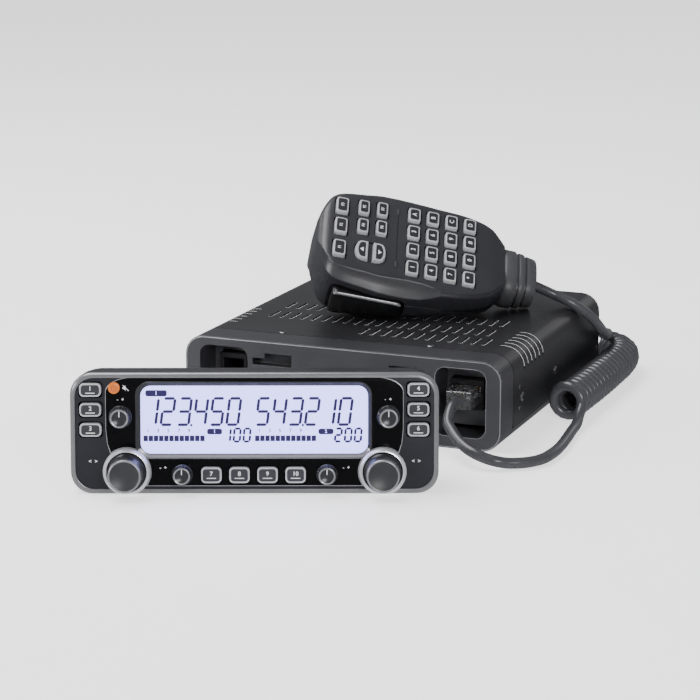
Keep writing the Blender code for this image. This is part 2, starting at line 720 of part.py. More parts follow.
def make_display(parent):
    width, height = LCD_SIZE
    x0, x1 = LCD_CENTRE[0] - width / 2, LCD_CENTRE[0] + width / 2
    z0, z1 = LCD_CENTRE[1] - height / 2, LCD_CENTRE[1] + height / 2
    add_object("display_window",
               prism_along_y("display_window", rounded_rectangle(x0, x1, z0, z1, LCD_CORNER), -0.1, 1.2),
               lit_display(), parent)
    add_object("lcd_module", box_mesh("lcd_module", (-46, 46, 3.8, 7.4, 13.9, 46.0)),
               lit_display(), parent)
    add_object("head_board", box_mesh("head_board", (-66, 66, 10.6, 12.2, 9.5, 41.5)),
               circuit_board(), parent)
    jack = add_object("remote_jack",
                      box_mesh("remote_jack", (-37, -23, 12.6, HEAD_DEPTH + 0.4, 18, 32)),
                      black_nylon(), parent)
    cut(jack, box_mesh("remote_socket", (-34.9, -25.1, HEAD_DEPTH - 9, HEAD_DEPTH + 1, 21.6, 28.4)))


def make_dial_encoders(parent):
    for side, word in ((-1, "left"), (1, "right")):
        name = f"dial_encoder_{word}"
        can = box_mesh(name, (-5.4, 5.4, 4.0, 10.2, -4.2, 5.6))
        encoder = add_object(name, can, nickel_plate(), parent, (side * DIAL_X, 0, DIAL_Z))
        weld(encoder, disc(name + "_shaft", 3.0, -9.0, 5.0, 20))


def turned_knob(name, parent, x, z, profile, steps):
    knob = add_object(name, turned_mesh(name, profile, steps, "Y"), gloss_black(), parent, (x, 0, z))
    return smooth(knob)


def make_knobs(parent):
    dial = ((0, -12.2), (6.0, -12.2), (6.9, -11.2), (7.1, -3.0), (7.7, -2.0), (7.7, -0.4),
            (3.3, -0.4), (3.3, -9.4), (0, -9.4))
    volume = ((0, -6.6), (3.9, -6.6), (4.4, -6.0), (4.75, -1.2), (4.75, -0.3), (2.0, -0.3),
              (2.0, 8.8), (0, 8.8))
    squelch = ((0, -5.6), (3.6, -5.6), (4.05, -5.0), (4.35, -1.2), (4.35, -0.3), (2.0, -0.3),
               (2.0, 8.8), (0, 8.8))
    for side, word in ((-1, "left"), (1, "right")):
        turned_knob(f"main_dial_{word}", parent, side * DIAL_X, DIAL_Z, dial, 36)
        turned_knob(f"volume_knob_{word}", parent, side * VOLUME_X, VOLUME_Z, volume, 24)
        turned_knob(f"squelch_knob_{word}", parent, side * SQUELCH_X, SQUELCH_Z, squelch, 24)


def make_head_key(name, parent, x, z, width, height):
    """A key cap with a lug on each side, behind the case wall, that holds it in."""
    w, h = width / 2, height / 2
    cap = add_object(name, box_mesh(name, (-w, w, -1.3, 4.6, -h, h)), key_rubber(), parent, (x, 0, z))
    weld(cap, box_mesh(name + "_foot", (-w - 0.9, w + 0.9, 3.8, 4.8, -h, 0)))


def make_head_keys(parent):
    words = {-1: "left", 1: "right"}
    for side, row, x, z in side_key_places():
        make_head_key(f"{words[side]}_key_{row + 1}", parent, x, z, *SIDE_KEY_SIZE)
    for index, x in enumerate(LOWER_KEY_XS):
        make_head_key(f"lower_key_{index + 1}", parent, x, LOWER_KEY_Z, *LOWER_KEY_SIZE)
    x, z, radius = POWER_KEY
    profile = ((0, -1.2), (radius - 0.4, -1.2), (radius, -0.8), (radius, 3.8), (radius + 0.8, 3.8),
               (radius + 0.8, 4.8), (0, 4.8))
    power = add_object("power_key", turned_mesh("power_key", profile, 20, "Y"), orange_key(),
                       parent, (x, 0, z))
    smooth(power)


def make_control_head():
    head = bpy.data.objects.new("head_frame", None)
    bpy.context.collection.objects.link(head)
    head.location = Vector(HEAD_PLACE) * MM
    head.rotation_euler = (-HEAD_LEAN, 0, HEAD_TURN)
    make_head_cases(head)
    make_gloss_panel(head)
    make_display(head)
    make_dial_encoders(head)
    make_knobs(head)
    make_head_keys(head)


# ---------------------------------------------------------------- hand microphone

def blend(table, x):
    """Read a value from (x, value) pairs, straight between them."""
    for (x0, v0), (x1, v1) in zip(table, table[1:]):
        if x <= x1:
            return v0 + (v1 - v0) * (x - x0) / (x1 - x0)
    return table[-1][1]


HALF_WIDTHS = ((0, 9), (1, 12.5), (3, 18), (5.5, 23), (9, 26.5), (15, 28.4), (23, 29.6),
               (31, 30.9), (45, 30.5), (59, 29.3), (72, 28), (80, 25.8), (86, 22.6), (89, 19),
               (92.5, 14.6))
FACE_HEIGHTS = ((0, 28), (1, 29.4), (3, 31), (5.5, 31.9), (9, MIC_FACE_Z), (84, MIC_FACE_Z),
                (89, 31.8), (92.5, 30.8))
BACK_HEIGHTS = ((0, 5), (1, 3.4), (3, 1.5), (5.5, 0), (9, -0.8), (20, -1), (70, 10.5), (92.5, 11.2))
CHAMFERS = ((0, 3), (5, 6.5), (59, 6.5), (72, 5.2), (92.5, 4))
SHELL_STATIONS = (0, 1, 3, 5.5, 9, 15, 20, 31, 45, 59, 72, 80, 86, 89, 92.5)


def front_half_section(x, shrink, floor_z):
    """Right half of the front shell's section, from the middle of the face down to the split."""
    w = blend(HALF_WIDTHS, x) - shrink
    top = blend(FACE_HEIGHTS, x) - shrink
    chamfer = blend(CHAMFERS, x)
    side = max(top - 8.0, MIC_SPLIT + 1.0)
    step = top - side
    return [(0, top), (w - chamfer, top), (w - 0.35 * chamfer, top - 0.2 * step),
            (w - 0.07 * chamfer, top - 0.55 * step), (w, side), (w, floor_z)]


def rear_half_section(x, shrink, roof_z):
    """Right half of the rear shell's section, with the sloping lower side it can lie on."""
    w = blend(HALF_WIDTHS, x) - shrink
    low = blend(BACK_HEIGHTS, x) + shrink
    run = min(11.5, w - 1.0)
    return [(w, roof_z), (w, low + 9.2), (w - 0.1 * run, low + 7.2), (w - run, low), (0, low)]


def mirrored_ring(x, half):
    """A closed ring from a half section whose first or last point is on the middle line."""
    other = [(-y, z) for y, z in reversed(half) if y > 0]
    return [(x, y, z) for y, z in half + other]


def shell_loft(name, section, shrink, edge_z, stations):
    return loft_mesh(name, [mirrored_ring(x, section(x, shrink, edge_z)) for x in stations])


def number_key_boxes(grow, z0, z1):
    boxes = []
    for column in range(4):
        for row in range(4):
            x = NUMBER_KEY_X0 + column * NUMBER_KEY_PITCH[0]
            y = (row - 1.5) * NUMBER_KEY_PITCH[1]
            w, h = NUMBER_KEY_SIZE[0] / 2 + grow, NUMBER_KEY_SIZE[1] / 2 + grow
            boxes.append((x - w, x + w, y - h, y + h, z0, z1))
    return boxes


def function_key_boxes(grow, z0, z1):
    return [(x - w / 2 - grow, x + w / 2 + grow, y - h / 2 - grow, y + h / 2 + grow, z0, z1)
            for x, y, w, h in FUNCTION_KEYS]


def arrow_key_boxes(grow, z0, z1):
    w, h = ARROW_KEY_SIZE[0] / 2 + grow, ARROW_KEY_SIZE[1] / 2 + grow
    return [(x - w, x + w, ARROW_KEY_Y - h, ARROW_KEY_Y + h, z0, z1) for x in ARROW_KEY_XS]


def talk_bar_outline(grow=0.0):
    """Side view of the talk bar: its lower edge slopes with the back of the shell."""
    return [(11.5 - grow, 8.6 - grow), (44.5 + grow, 14.6 - grow), (44.5 + grow, 23 + grow),
            (11.5 - grow, 23 + grow)]


def make_mic_shells(parent):
    inner_stations = (3, 5.5, 9, 15, 20, 31, 45, 59, 72, 80, 86, 90)
    front = add_object("mic_front_shell",
                       shell_loft("mic_front_shell", front_half_section, 0, MIC_SPLIT + GAP / 2,
                                  SHELL_STATIONS), mic_plastic(), parent)
    cut(front, shell_loft("front_shell_room", front_half_section, MIC_WALL, MIC_SPLIT - 1,
                          inner_stations))
    z0, z1 = MIC_FACE_Z - 4, MIC_FACE_Z + 2
    openings = (number_key_boxes(0.35, z0, z1) + function_key_boxes(0.35, z0, z1)
                + arrow_key_boxes(0.35, z0, z1))
    cut(front, box_mesh("key_openings", *openings))
    rear = add_object("mic_rear_shell",
                      shell_loft("mic_rear_shell", rear_half_section, 0, MIC_SPLIT - GAP / 2,
                                 SHELL_STATIONS), mic_plastic(), parent)
    cut(rear, shell_loft("rear_shell_room", rear_half_section, MIC_WALL, MIC_SPLIT + 1,
                         inner_stations))
    for name, shell in (("talk_gap_front", front), ("talk_gap_rear", rear)):
        cut(shell, prism_along_y(name, talk_bar_outline(0.4), -40, -24))
    smooth(front)
    smooth(rear)


def make_mic_insides(parent):
    add_object("mic_board", box_mesh("mic_board", (8, 78.2, -19, 19, 23.4, 25.0)), circuit_board(),
               parent)
    profile = ((0, 0), (4.3, 0), (4.3, 5.0), (0, 5.0))
    capsule = add_object("mic_capsule", turned_mesh("mic_capsule", profile, 20), nickel_plate(),
                         parent, (83, 0, 23.6))
    smooth(capsule)


def make_mic_keys(parent):
    """Silicone mats whose keys stand through the face, and the two rocker-like arrow keys."""
    sheet_low, sheet_high, key_top = 26.2, 27.4, MIC_FACE_Z + KEY_PROUD
    bm = bmesh.new()
    for box in number_key_boxes(0, sheet_high - 0.4, key_top):
        add_box(bm, *box)
    mat = add_object("number_key_mat",
                     box_mesh("number_key_mat", (41.6, 77.6, -22.6, 22.6, sheet_low, sheet_high)),
                     key_rubber(), parent)
    weld(mat, finish_mesh("number_keys", bm))
    outline = [(7.8, -19.0), (15.4, -19.0), (15.4, -4.6), (34.8, -4.6), (34.8, 20.6), (7.8, 20.6)]
    mat = add_object("function_key_mat",
                     prism_along_z("function_key_mat", outline, sheet_low, sheet_high),
                     key_rubber(), parent)
    bm = bmesh.new()
    for box in function_key_boxes(0, sheet_high - 0.4, key_top):
        add_box(bm, *box)
    weld(mat, finish_mesh("function_keys", bm))
    for name, box in zip(("up_key", "down_key"), arrow_key_boxes(0, sheet_low + 0.5, key_top)):
        key = add_object(name, box_mesh(name, box), key_rubber(), parent)
        x0, x1, y0, y1 = box[:4]
        weld(key, box_mesh(name + "_foot", (x0 - 0.6, x1 + 0.6, y0 - 0.6, y1 + 0.6,
                                            sheet_low, sheet_high)))


def make_mic_outsides(parent):
    add_object("talk_bar", prism_along_y("talk_bar", talk_bar_outline(), -32.2, -26.4),
               black_rubber(), parent)
    profile = ((0, 0), (6.2, 0), (6.2, -1.2), (3.4, -1.8), (3.4, -3.4), (5.6, -3.9), (5.6, -5.2),
               (4.6, -5.8), (0, -5.8))
    slope = math.atan2(11.5, 50)
    button = add_object("hanger_button", turned_mesh("hanger_button", profile, 24), nickel_plate(),
                        parent, (35, 0, blend(BACK_HEIGHTS, 35) - 0.35))
    button.rotation_euler = (0, -slope, 0)
    smooth(button)
    steps = ((92.9, 14.6, 9.6), (95.5, 15.0, 10.0), (100.4, 14.4, 9.9), (100.6, 13.2, 9.3),
             (103.6, 13.0, 9.2), (103.8, 12.2, 8.9), (109.3, 12.0, 8.6))
    rings = []
    for x, across, thick in steps:
        rings.append([(x, across * c, BOOT_AXIS_Z + thick * s) for c, s in arc(0, 0, 1, 0, 345, 23)])
    smooth(add_object("cord_boot", loft_mesh("cord_boot", rings), black_rubber(), parent))


def make_microphone():
    mic = bpy.data.objects.new("mic_frame", None)
    bpy.context.collection.objects.link(mic)
    mic.location = Vector(MIC_PLACE) * MM
    mic.rotation_euler = MIC_TURN
    make_mic_shells(mic)
    make_mic_insides(mic)
    make_mic_keys(mic)
    make_mic_outsides(mic)


def main():
    clear_scene()
    make_front_panel()
    make_covers()
    make_chassis()
    make_unit_insides()
    make_fan()
    make_rear_sockets()
    make_front_jacks()
    make_cord()
    make_control_head()
    make_microphone()


main()
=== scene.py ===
"""The looks of the mobile transceiver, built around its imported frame.

Sizes are in millimetres and each mesh is scaled to metres when it is finished. The control head and the
microphone are built in their own frames, HEAD and MIC, and the main unit in the row frame.
"""

import json
import math

import bmesh
import bpy
from mathutils import Euler, Matrix, Vector


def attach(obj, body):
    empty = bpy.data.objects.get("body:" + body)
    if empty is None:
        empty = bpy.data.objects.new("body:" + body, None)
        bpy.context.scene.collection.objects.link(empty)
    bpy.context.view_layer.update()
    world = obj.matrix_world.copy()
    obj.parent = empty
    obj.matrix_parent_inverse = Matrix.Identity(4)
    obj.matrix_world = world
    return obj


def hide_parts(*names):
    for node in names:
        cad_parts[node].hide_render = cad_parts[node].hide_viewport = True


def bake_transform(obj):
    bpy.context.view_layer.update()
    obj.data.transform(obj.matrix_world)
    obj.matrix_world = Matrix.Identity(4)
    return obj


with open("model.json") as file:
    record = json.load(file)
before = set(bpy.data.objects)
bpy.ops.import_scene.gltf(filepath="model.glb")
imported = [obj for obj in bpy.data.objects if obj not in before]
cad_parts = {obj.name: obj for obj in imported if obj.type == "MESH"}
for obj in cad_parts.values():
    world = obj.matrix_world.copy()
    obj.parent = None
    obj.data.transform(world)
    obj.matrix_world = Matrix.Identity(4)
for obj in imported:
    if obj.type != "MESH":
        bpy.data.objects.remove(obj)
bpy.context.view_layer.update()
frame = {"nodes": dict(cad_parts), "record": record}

MM = 0.001

# Where the three units stand
UNIT = Matrix.Identity(4)
HEAD_LEAN = math.radians(7.0)
HEAD = (Matrix.Translation(Vector((0.85, -169.24, 0.0)) * MM)
        @ Euler((-HEAD_LEAN, 0, math.radians(22.05))).to_matrix().to_4x4())
MIC = (Matrix.Translation(Vector((-49.45, -0.45, 56.55)) * MM)
       @ Euler([math.radians(a) for a in (35.09, 12.11, 26.61)]).to_matrix().to_4x4())

# Camera
CAMERA_PLACE = Vector((376.9, -1002.8, 282.2)) * MM
CAMERA_TARGET = Vector((-25.35, 0.0, 19.99)) * MM
CAMERA_LENS = 120.7
FLOOR_GLOW = 1.3

# Main unit
UNIT_HEIGHT = 40.0
FRONT_Y = -75.5
SHOULDER = 9.0
VENT_ROWS = ((-2.1, -46.5, 12), (-54.0, -29.0, 21), (-54.0, -9.0, 21))
PLUG_X, PLUG_Z = 55.0, 21.5
PLUG_FRONT_Y = -74.5

# Control head
HEAD_W, HEAD_H = 150.0, 50.0
LCD_Z, LCD_W, LCD_H = 30.6, 92.2, 27.8
DIAL_X, DIAL_Z = 52.0, 9.4
VOLUME_X, VOLUME_Z = 54.3, 32.0
SQUELCH_X, SQUELCH_Z = 29.4, 8.3
SIDE_KEY_X = 66.4
SIDE_KEYS_Z = (43.0, 34.9, 26.7)
LOWER_KEY_Z = 8.1
LOWER_KEYS_X = (-17.6, -6.2, 5.2, 16.6)
SIDES = ((-1, "left"), (1, "right"))

# Hand microphone
MIC_FACE_Z = 32.5
MIC_SPLIT = 21.5
NUMBER_KEYS_START = 46.0
NUMBER_PITCH_X, NUMBER_PITCH_Y = 9.0, 11.5
ARROW_KEYS_Y = -11.7
INDICATOR_X = 38.4
INDICATORS_Y = (18.0, -16.0)
TALK_START, TALK_END = 11.5, 44.5
TALK_TOP = 23.0
NUMBER_ROWS = (("1", "4", "7", "*"), ("2", "5", "8", "0"), ("3", "6", "9", "#"), ("A", "B", "C", "D"))
FUNCTION_KEYS = (
    (11.4, -13.2, 6.4, 10.4), (11.4, 1.2, 6.4, 10.4), (11.4, 14.6, 6.4, 10.4), (21.8, 3.7, 5.6, 9.6),
    (21.8, 15.9, 5.6, 9.6), (30.6, 4.6, 5.6, 9.6), (30.6, 16.7, 5.6, 9.6),
)

# Cord
CORD_RADIUS = 2.4
COIL_RADIUS = 6.4
COIL_TURNS = 22.25
FIRST_TURN_EXTRA = 0.9
COIL_ROUTE = (
    (86.0, -15.2, 8.8), (86.7, 8.0, 8.8), (87.1, 30.0, 8.8), (87.0, 50.0, 8.8),
    (86.5, 71.0, 8.8), (84.2, 84.0, 8.8), (78.5, 92.2, 8.8), (71.5, 95.2, 8.8),
)
PLUG_LEAD_ROUTE = (
    (55.0, -74.2, 21.5), (54.0, -79.5, 20.4), (54.8, -87.0, 15.5), (58.1, -91.2, 12.5),
    (62.2, -95.2, 10.0), (67.2, -98.9, 8.0), (72.3, -101.1, 6.5), (76.8, -101.0, 5.0),
    (81.4, -100.4, 4.0), (85.3, -97.7, 3.0), (89.8, -94.6, 2.7), (93.6, -91.0, 2.7),
    (96.6, -85.4, 2.7), (98.0, -77.4, 2.7), (98.3, -66.5, 2.7), (97.3, -53.4, 2.7),
    (95.6, -38.5, 2.7), (94.9, -28.5, 3.3), (93.8, -21.0, 5.4),
)
MIC_LEAD_ROUTE = (
    (76.4, 86.5, 18.4), (79.6, 72.0, 20.6), (80.6, 59.0, 26.8), (78.3, 48.3, 35.0),
    (70.4, 43.0, 41.8), (61.5, 42.0, 45.6), tuple(MIC @ (Vector((105.5, 0.0, 20.8)) * MM) / MM),
)


# ---------------------------------------------------------------- materials

def patchy(name, color, scale, detail, shares, stops):
    """A material whose base colour drifts in soft patches between two shares of the colour."""
    look = bpy.data.materials.new(name)
    look.use_nodes = True
    nodes, links = look.node_tree.nodes, look.node_tree.links
    place = nodes.new("ShaderNodeTexCoord").outputs["Object"]
    cloud = nodes.new("ShaderNodeTexNoise")
    cloud.inputs["Scale"].default_value = scale
    cloud.inputs["Detail"].default_value = detail
    links.new(place, cloud.inputs["Vector"])
    tone = nodes.new("ShaderNodeValToRGB")
    for stop, share, position in zip(tone.color_ramp.elements, shares, stops):
        stop.color = (*[min(1.0, c * share) for c in color], 1.0)
        stop.position = position
    links.new(cloud.outputs["Fac"], tone.inputs["Fac"])
    links.new(tone.outputs["Color"], nodes["Principled BSDF"].inputs["Base Color"])
    return look, place, cloud, tone


def surface(name, color, roughness, metallic=0.0, grain=0.0, grain_size=0.3, mottle=0.08,
            cells=False, shine=0.5):
    """A painted, moulded or plated surface with uneven tone, uneven gloss and a fine grain."""
    look, place, cloud, _ = patchy(name, color, 45.0, 5.0, (1.0 - mottle, 1.0 + mottle), (0.3, 0.7))
    nodes, links = look.node_tree.nodes, look.node_tree.links
    shader = nodes["Principled BSDF"]
    shader.inputs["Metallic"].default_value = metallic
    shader.inputs["Specular IOR Level"].default_value = shine

    gloss = nodes.new("ShaderNodeMapRange")
    gloss.inputs["To Min"].default_value = roughness * 0.86
    gloss.inputs["To Max"].default_value = min(1.0, roughness * 1.14)
    links.new(cloud.outputs["Fac"], gloss.inputs["Value"])
    links.new(gloss.outputs["Result"], shader.inputs["Roughness"])

    if grain:
        pebble = nodes.new("ShaderNodeTexVoronoi" if cells else "ShaderNodeTexNoise")
        pebble.inputs["Scale"].default_value = 1.0 / (grain_size * MM)
        links.new(place, pebble.inputs["Vector"])
        bump = nodes.new("ShaderNodeBump")
        bump.inputs["Strength"].default_value = grain
        bump.inputs["Distance"].default_value = 0.05 * MM
        links.new(pebble.outputs[0], bump.inputs["Height"])
        links.new(bump.outputs["Normal"], shader.inputs["Normal"])
    return look


def glowing(name, color, strength, edge_share=0.94):
    """A lit surface that is a little dimmer in soft patches."""
    look, _, _, tone = patchy(name, color, 12.0, 2.0, (edge_share, 1.0), (0.0, 1.0))
    shader = look.node_tree.nodes["Principled BSDF"]
    shader.inputs["Roughness"].default_value = 0.35
    look.node_tree.links.new(tone.outputs["Color"], shader.inputs["Emission Color"])
    shader.inputs["Emission Strength"].default_value = strength
    return look


def clear_moulding(name):
    look = surface(name, (0.93, 0.95, 0.96), 0.06, grain=0.1, grain_size=1.5)
    shader = look.node_tree.nodes["Principled BSDF"]
    shader.inputs["Transmission Weight"].default_value = 0.95
    shader.inputs["IOR"].default_value = 1.49
    return look


COVER = surface("cover_paint", (0.014, 0.014, 0.016), 0.33, grain=0.25, grain_size=0.5, shine=0.4)
PANEL = surface("front_panel_plastic", (0.046, 0.046, 0.052), 0.40, grain=0.2, grain_size=0.35,
                shine=0.35)
# Painted shade: the front panel's top and sides, one moulding with its front face, are painted darker than
# that face.
PANEL_SIDE_SHADED = surface("front_panel_side_painted_shade", (0.026, 0.026, 0.030), 0.34, grain=0.3, grain_size=0.4)
# Painted highlight along the rounded edges of the front face and the plug's recess.
PANEL_EDGE_HIGHLIGHT = surface("front_panel_edge_highlight", (0.26, 0.26, 0.28), 0.28, metallic=0.3)
RIM = surface("head_rim_plastic", (0.20, 0.20, 0.21), 0.22, metallic=0.35, grain=0.1)
SHELL = surface("head_shell_plastic", (0.020, 0.020, 0.024), 0.40, grain=0.2, grain_size=0.35, shine=0.3)
FACE = surface("head_face_plastic", (0.018, 0.018, 0.024), 0.45, grain=0.15, shine=0.3)
GLOSS = surface("gloss_panel_black", (0.0025, 0.0025, 0.003), 0.10, mottle=0.03, shine=0.25)
# Painted highlight: a pale strip round the gloss panel's bevelled edge.
GLOSS_EDGE_HIGHLIGHT = surface("gloss_edge_highlight_grey", (0.30, 0.30, 0.32), 0.3, metallic=0.3)
# Painted highlight on the far walls of the cover's slots.
SLOT_LIP_HIGHLIGHT = surface("slot_lip_highlight", (0.72, 0.72, 0.74), 0.35, metallic=0.2)
# Painted highlight on the rims of the dial caps and small knobs.
KNOB_RING_HIGHLIGHT = surface("knob_ring_highlight", (0.30, 0.30, 0.32), 0.22, metallic=0.5)
# Painted highlight along the talk bar's top front edge.
TALK_BAR_HIGHLIGHT = surface("talk_bar_edge_highlight", (0.30, 0.30, 0.31), 0.25, metallic=0.4)
BEZEL = surface("display_bezel_black", (0.030, 0.030, 0.034), 0.2)
# Painted highlight on the display bezel's lower chamfer, which faces up.
DISPLAY_LIP_HIGHLIGHT = surface("display_lip_highlight", (0.30, 0.30, 0.32), 0.25, metallic=0.3)
COLLAR = surface("collar_satin", (0.88, 0.88, 0.92), 0.24, metallic=0.5)
KNOB = surface("knob_black", (0.022, 0.022, 0.025), 0.26, grain=0.15)
DIAL_CAP = surface("dial_cap_grey", (0.028, 0.028, 0.032), 0.42, grain=0.2)
KEY_RIM = surface("key_rim_grey", (0.42, 0.42, 0.45), 0.36)
KEY_FACE = surface("key_face_grey", (0.035, 0.035, 0.042), 0.45, grain=0.15, shine=0.3)
PRINT = surface("white_print", (0.85, 0.85, 0.88), 0.5, mottle=0.03)
MIC_SHELL = surface("mic_shell_plastic", (0.025, 0.025, 0.030), 0.36, grain=0.7, grain_size=0.55,
                    cells=True)
# Painted highlight: the microphone's near facet, lighter than the rest of the same shell.
MIC_FACET_LIT = surface("mic_facet_painted_highlight", (0.055, 0.055, 0.060), 0.30, grain=0.1, grain_size=0.4)
# Painted shade for the screws' cross recesses.
SCREW_RECESS_SHADE = surface("screw_recess_painted_shade", (0.004, 0.004, 0.005), 0.6, shine=0.2)
MIC_KEY = surface("mic_key_grey", (0.40, 0.40, 0.42), 0.40, grain=0.1)
MIC_KEY_FACE = surface("mic_key_face", (0.022, 0.022, 0.026), 0.40, shine=0.3)
TALK = surface("talk_bar_rubber", (0.008, 0.008, 0.009), 0.32, grain=0.15, grain_size=0.4)
BOOT = surface("boot_rubber", (0.053, 0.053, 0.058), 0.42, grain=0.4, grain_size=0.5)
JACKET = surface("cord_jacket_grey", (0.056, 0.056, 0.063), 0.28, grain=0.2, grain_size=0.7)
METAL = surface("plated_metal", (0.60, 0.60, 0.60), 0.26, metallic=1.0, grain=0.1)
SCREW = surface("dark_screw", (0.30, 0.30, 0.31), 0.28, metallic=0.9)
CAST = surface("cast_alloy", (0.26, 0.26, 0.28), 0.5, metallic=0.85, grain=0.8, grain_size=0.8)
NYLON = surface("black_nylon_plastic", (0.012, 0.012, 0.014), 0.5, grain=0.3, grain_size=0.5, shine=0.35)
GOLD = surface("gold_contact", (0.75, 0.52, 0.20), 0.25, metallic=1.0)
BOARD = surface("circuit_board_green", (0.02, 0.12, 0.05), 0.4, grain=0.3, grain_size=1.0)
CLEAR = clear_moulding("clear_plug_plastic")
BACKLIGHT = glowing("display_backlight", (0.40, 0.42, 1.0), 3.0, 0.97)
INK = surface("display_ink", (0.030, 0.022, 0.090), 0.35, mottle=0.04, shine=0.2)
PALE_INK = surface("display_ink_pale", (0.035, 0.03, 0.08), 0.35, mottle=0.04, shine=0.2)
POWER = glowing("power_key_orange", (0.62, 0.15, 0.012), 0.10)
POWER_MARK = surface("power_mark_red", (0.50, 0.05, 0.01), 0.4)


# ---------------------------------------------------------------- outlines and meshes

def arc(cx, cy, radius, start, end, steps):
    """Points along an arc, angles in degrees, both ends included."""
    points = []
    for i in range(steps + 1):
        angle = math.radians(start + (end - start) * i / steps)
        points.append((cx + radius * math.cos(angle), cy + radius * math.sin(angle)))
    return points


def rounded_rectangle(cx, cy, width, height, radius, steps=6):
    x, y = width / 2 - radius, height / 2 - radius
    points = []
    for i, (right, up) in enumerate(((1, 1), (-1, 1), (-1, -1), (1, -1))):
        points += arc(cx + right * x, cy + up * y, radius, 90 * i, 90 * i + 90, steps)
    return points


def inset(outline, amount):
    """The outline moved inwards by an amount; outlines run anticlockwise."""
    moved = []
    count = len(outline)
    for i in range(count):
        before, here, after = (Vector(outline[(i + k) % count]) for k in (-1, 0, 1))
        one, two = (here - before), (after - here)
        if one.length < 1e-6:
            one = two
        if two.length < 1e-6:
            two = one
        normals = [Vector((-d.y, d.x)).normalized() for d in (one, two)]
        middle = normals[0] + normals[1]
        middle.normalize()
        share = amount / max(0.35, middle.dot(normals[0]))
        moved.append(tuple(here + middle * share))
    return moved


def loft(bm, rings, slot=0, caps=True, closed=True):
    """Join rings of equal point counts with faces, and close both ends."""
    loops = [[bm.verts.new(p) for p in ring] for ring in rings]
    count = len(loops[0])
    for low, high in zip(loops, loops[1:]):
        for i in range(count if closed else count - 1):
            j = (i + 1) % count
            bm.faces.new((low[i], low[j], high[j], high[i])).material_index = slot
    if caps:
        for loop in (loops[0], loops[-1]):
            bm.faces.new(loop).material_index = slot


def plate(bm, outline, front, back, edge, slot=0, place=Matrix.Identity(4), top_slot=None):
    """A solid with a rounded front edge: the outline is in x and z, and front is towards -y."""
    rings = [[(x, back, z) for x, z in outline]]
    for i in range(4):
        turn = math.radians(90 * i / 3)
        depth = front + edge * (1 - math.sin(turn))
        rings.append([(x, depth, z) for x, z in inset(outline, edge * (1 - math.cos(turn)))])
    rings = [[place @ Vector(p) for p in ring] for ring in rings]
    loft(bm, rings, slot, caps=False)
    bm.verts.ensure_lookup_table()
    count = len(outline)
    last = [bm.verts[-count + i] for i in range(count)]
    first = [bm.verts[-5 * count + i] for i in range(count)]
    bm.faces.new(last).material_index = slot if top_slot is None else top_slot
    bm.faces.new(first).material_index = slot


def lathe(bm, profile, steps, slot=0, place=Matrix.Identity(4), flutes=0, flute_depth=0.0,
          fluted_rows=(), caps=True):
    """Turn a profile of (radius, depth) points round the y axis, with flutes on some of its rows."""
    rings = []
    for row, (radius, depth) in enumerate(profile):
        ring = []
        for i in range(steps):
            angle = 2 * math.pi * i / steps
            r = radius
            if flutes and row in fluted_rows:
                r -= flute_depth * (0.5 + 0.5 * math.cos(angle * flutes))
            ring.append(place @ Vector((r * math.cos(angle), depth, r * math.sin(angle))))
        rings.append(ring)
    loft(bm, rings, slot, caps=caps)


def box(bm, x0, x1, y0, y1, z0, z1, slot=0, place=Matrix.Identity(4)):
    corners = ((x0, y0), (x1, y0), (x1, y1), (x0, y1))
    loft(bm, [[place @ Vector((x, y, z)) for x, y in corners] for z in (z0, z1)], slot)


def added(name, data):
    """A new object in the scene."""
    item = bpy.data.objects.new(name, data)
    bpy.context.collection.objects.link(item)
    return item


def placed_mesh(name, bm, place):
    """A mesh of the bmesh, turned from millimetres at its place to metres in the row frame."""
    bmesh.ops.recalc_face_normals(bm, faces=bm.faces)
    bmesh.ops.scale(bm, vec=(MM, MM, MM), verts=bm.verts)
    mesh = bpy.data.meshes.new(name)
    bm.to_mesh(mesh)
    bm.free()
    mesh.transform(place)
    return mesh


def lettering(bm, text, height, place, slot=0, boldness=0.02):
    """Raised print from the built-in font, in the x and y of its place."""
    curve = bpy.data.curves.new("lettering", "FONT")
    curve.body = text
    curve.size = height / 0.73
    curve.align_x = "CENTER"
    curve.align_y = "CENTER"
    curve.resolution_u = 3
    curve.extrude = 0.02
    curve.offset = boldness
    holder = added("lettering", curve)
    mesh = bpy.data.meshes.new_from_object(holder.evaluated_get(bpy.context.evaluated_depsgraph_get()))
    bpy.data.objects.remove(holder)
    mesh.transform(place)
    faces_before = len(bm.faces)
    bm.from_mesh(mesh)
    bm.faces.ensure_lookup_table()
    for face in bm.faces[faces_before:]:
        face.material_index = slot
    bpy.data.meshes.remove(mesh)


def on_face(x, z, y):
    """The place of print on a front face: its x to the right and its y up."""
    return Matrix.Translation((x, y, z)) @ Matrix.Rotation(math.radians(90), 4, "X")


def on_mic(x, y, z):
    """The place of print on the microphone's face, read with the head of the microphone up."""
    return Matrix.Translation((x, y, z)) @ Matrix.Rotation(math.radians(90), 4, "Z")


def finish(name, bm, looks, body, place=UNIT, replaces=(), angle=35, merge=True):
    """Make an object of the bmesh, in metres of the row frame, riding its body."""
    if merge:
        bmesh.ops.remove_doubles(bm, verts=bm.verts, dist=0.002)
    mesh = placed_mesh(name, bm, place)
    for look in looks:
        mesh.materials.append(look)
    item = added(name, mesh)
    mesh.shade_smooth()
    mesh.set_sharp_from_angle(angle=math.radians(angle))
    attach(item, body)
    if replaces:
        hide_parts(*replaces)
    return item


def soften(item, width, angle=30):
    edge = item.modifiers.new("soft_edges", "BEVEL")
    edge.width = width * MM
    edge.segments = 3
    edge.limit_method = "ANGLE"
    edge.angle_limit = math.radians(angle)
    edge.use_clamp_overlap = True
    edge.harden_normals = True


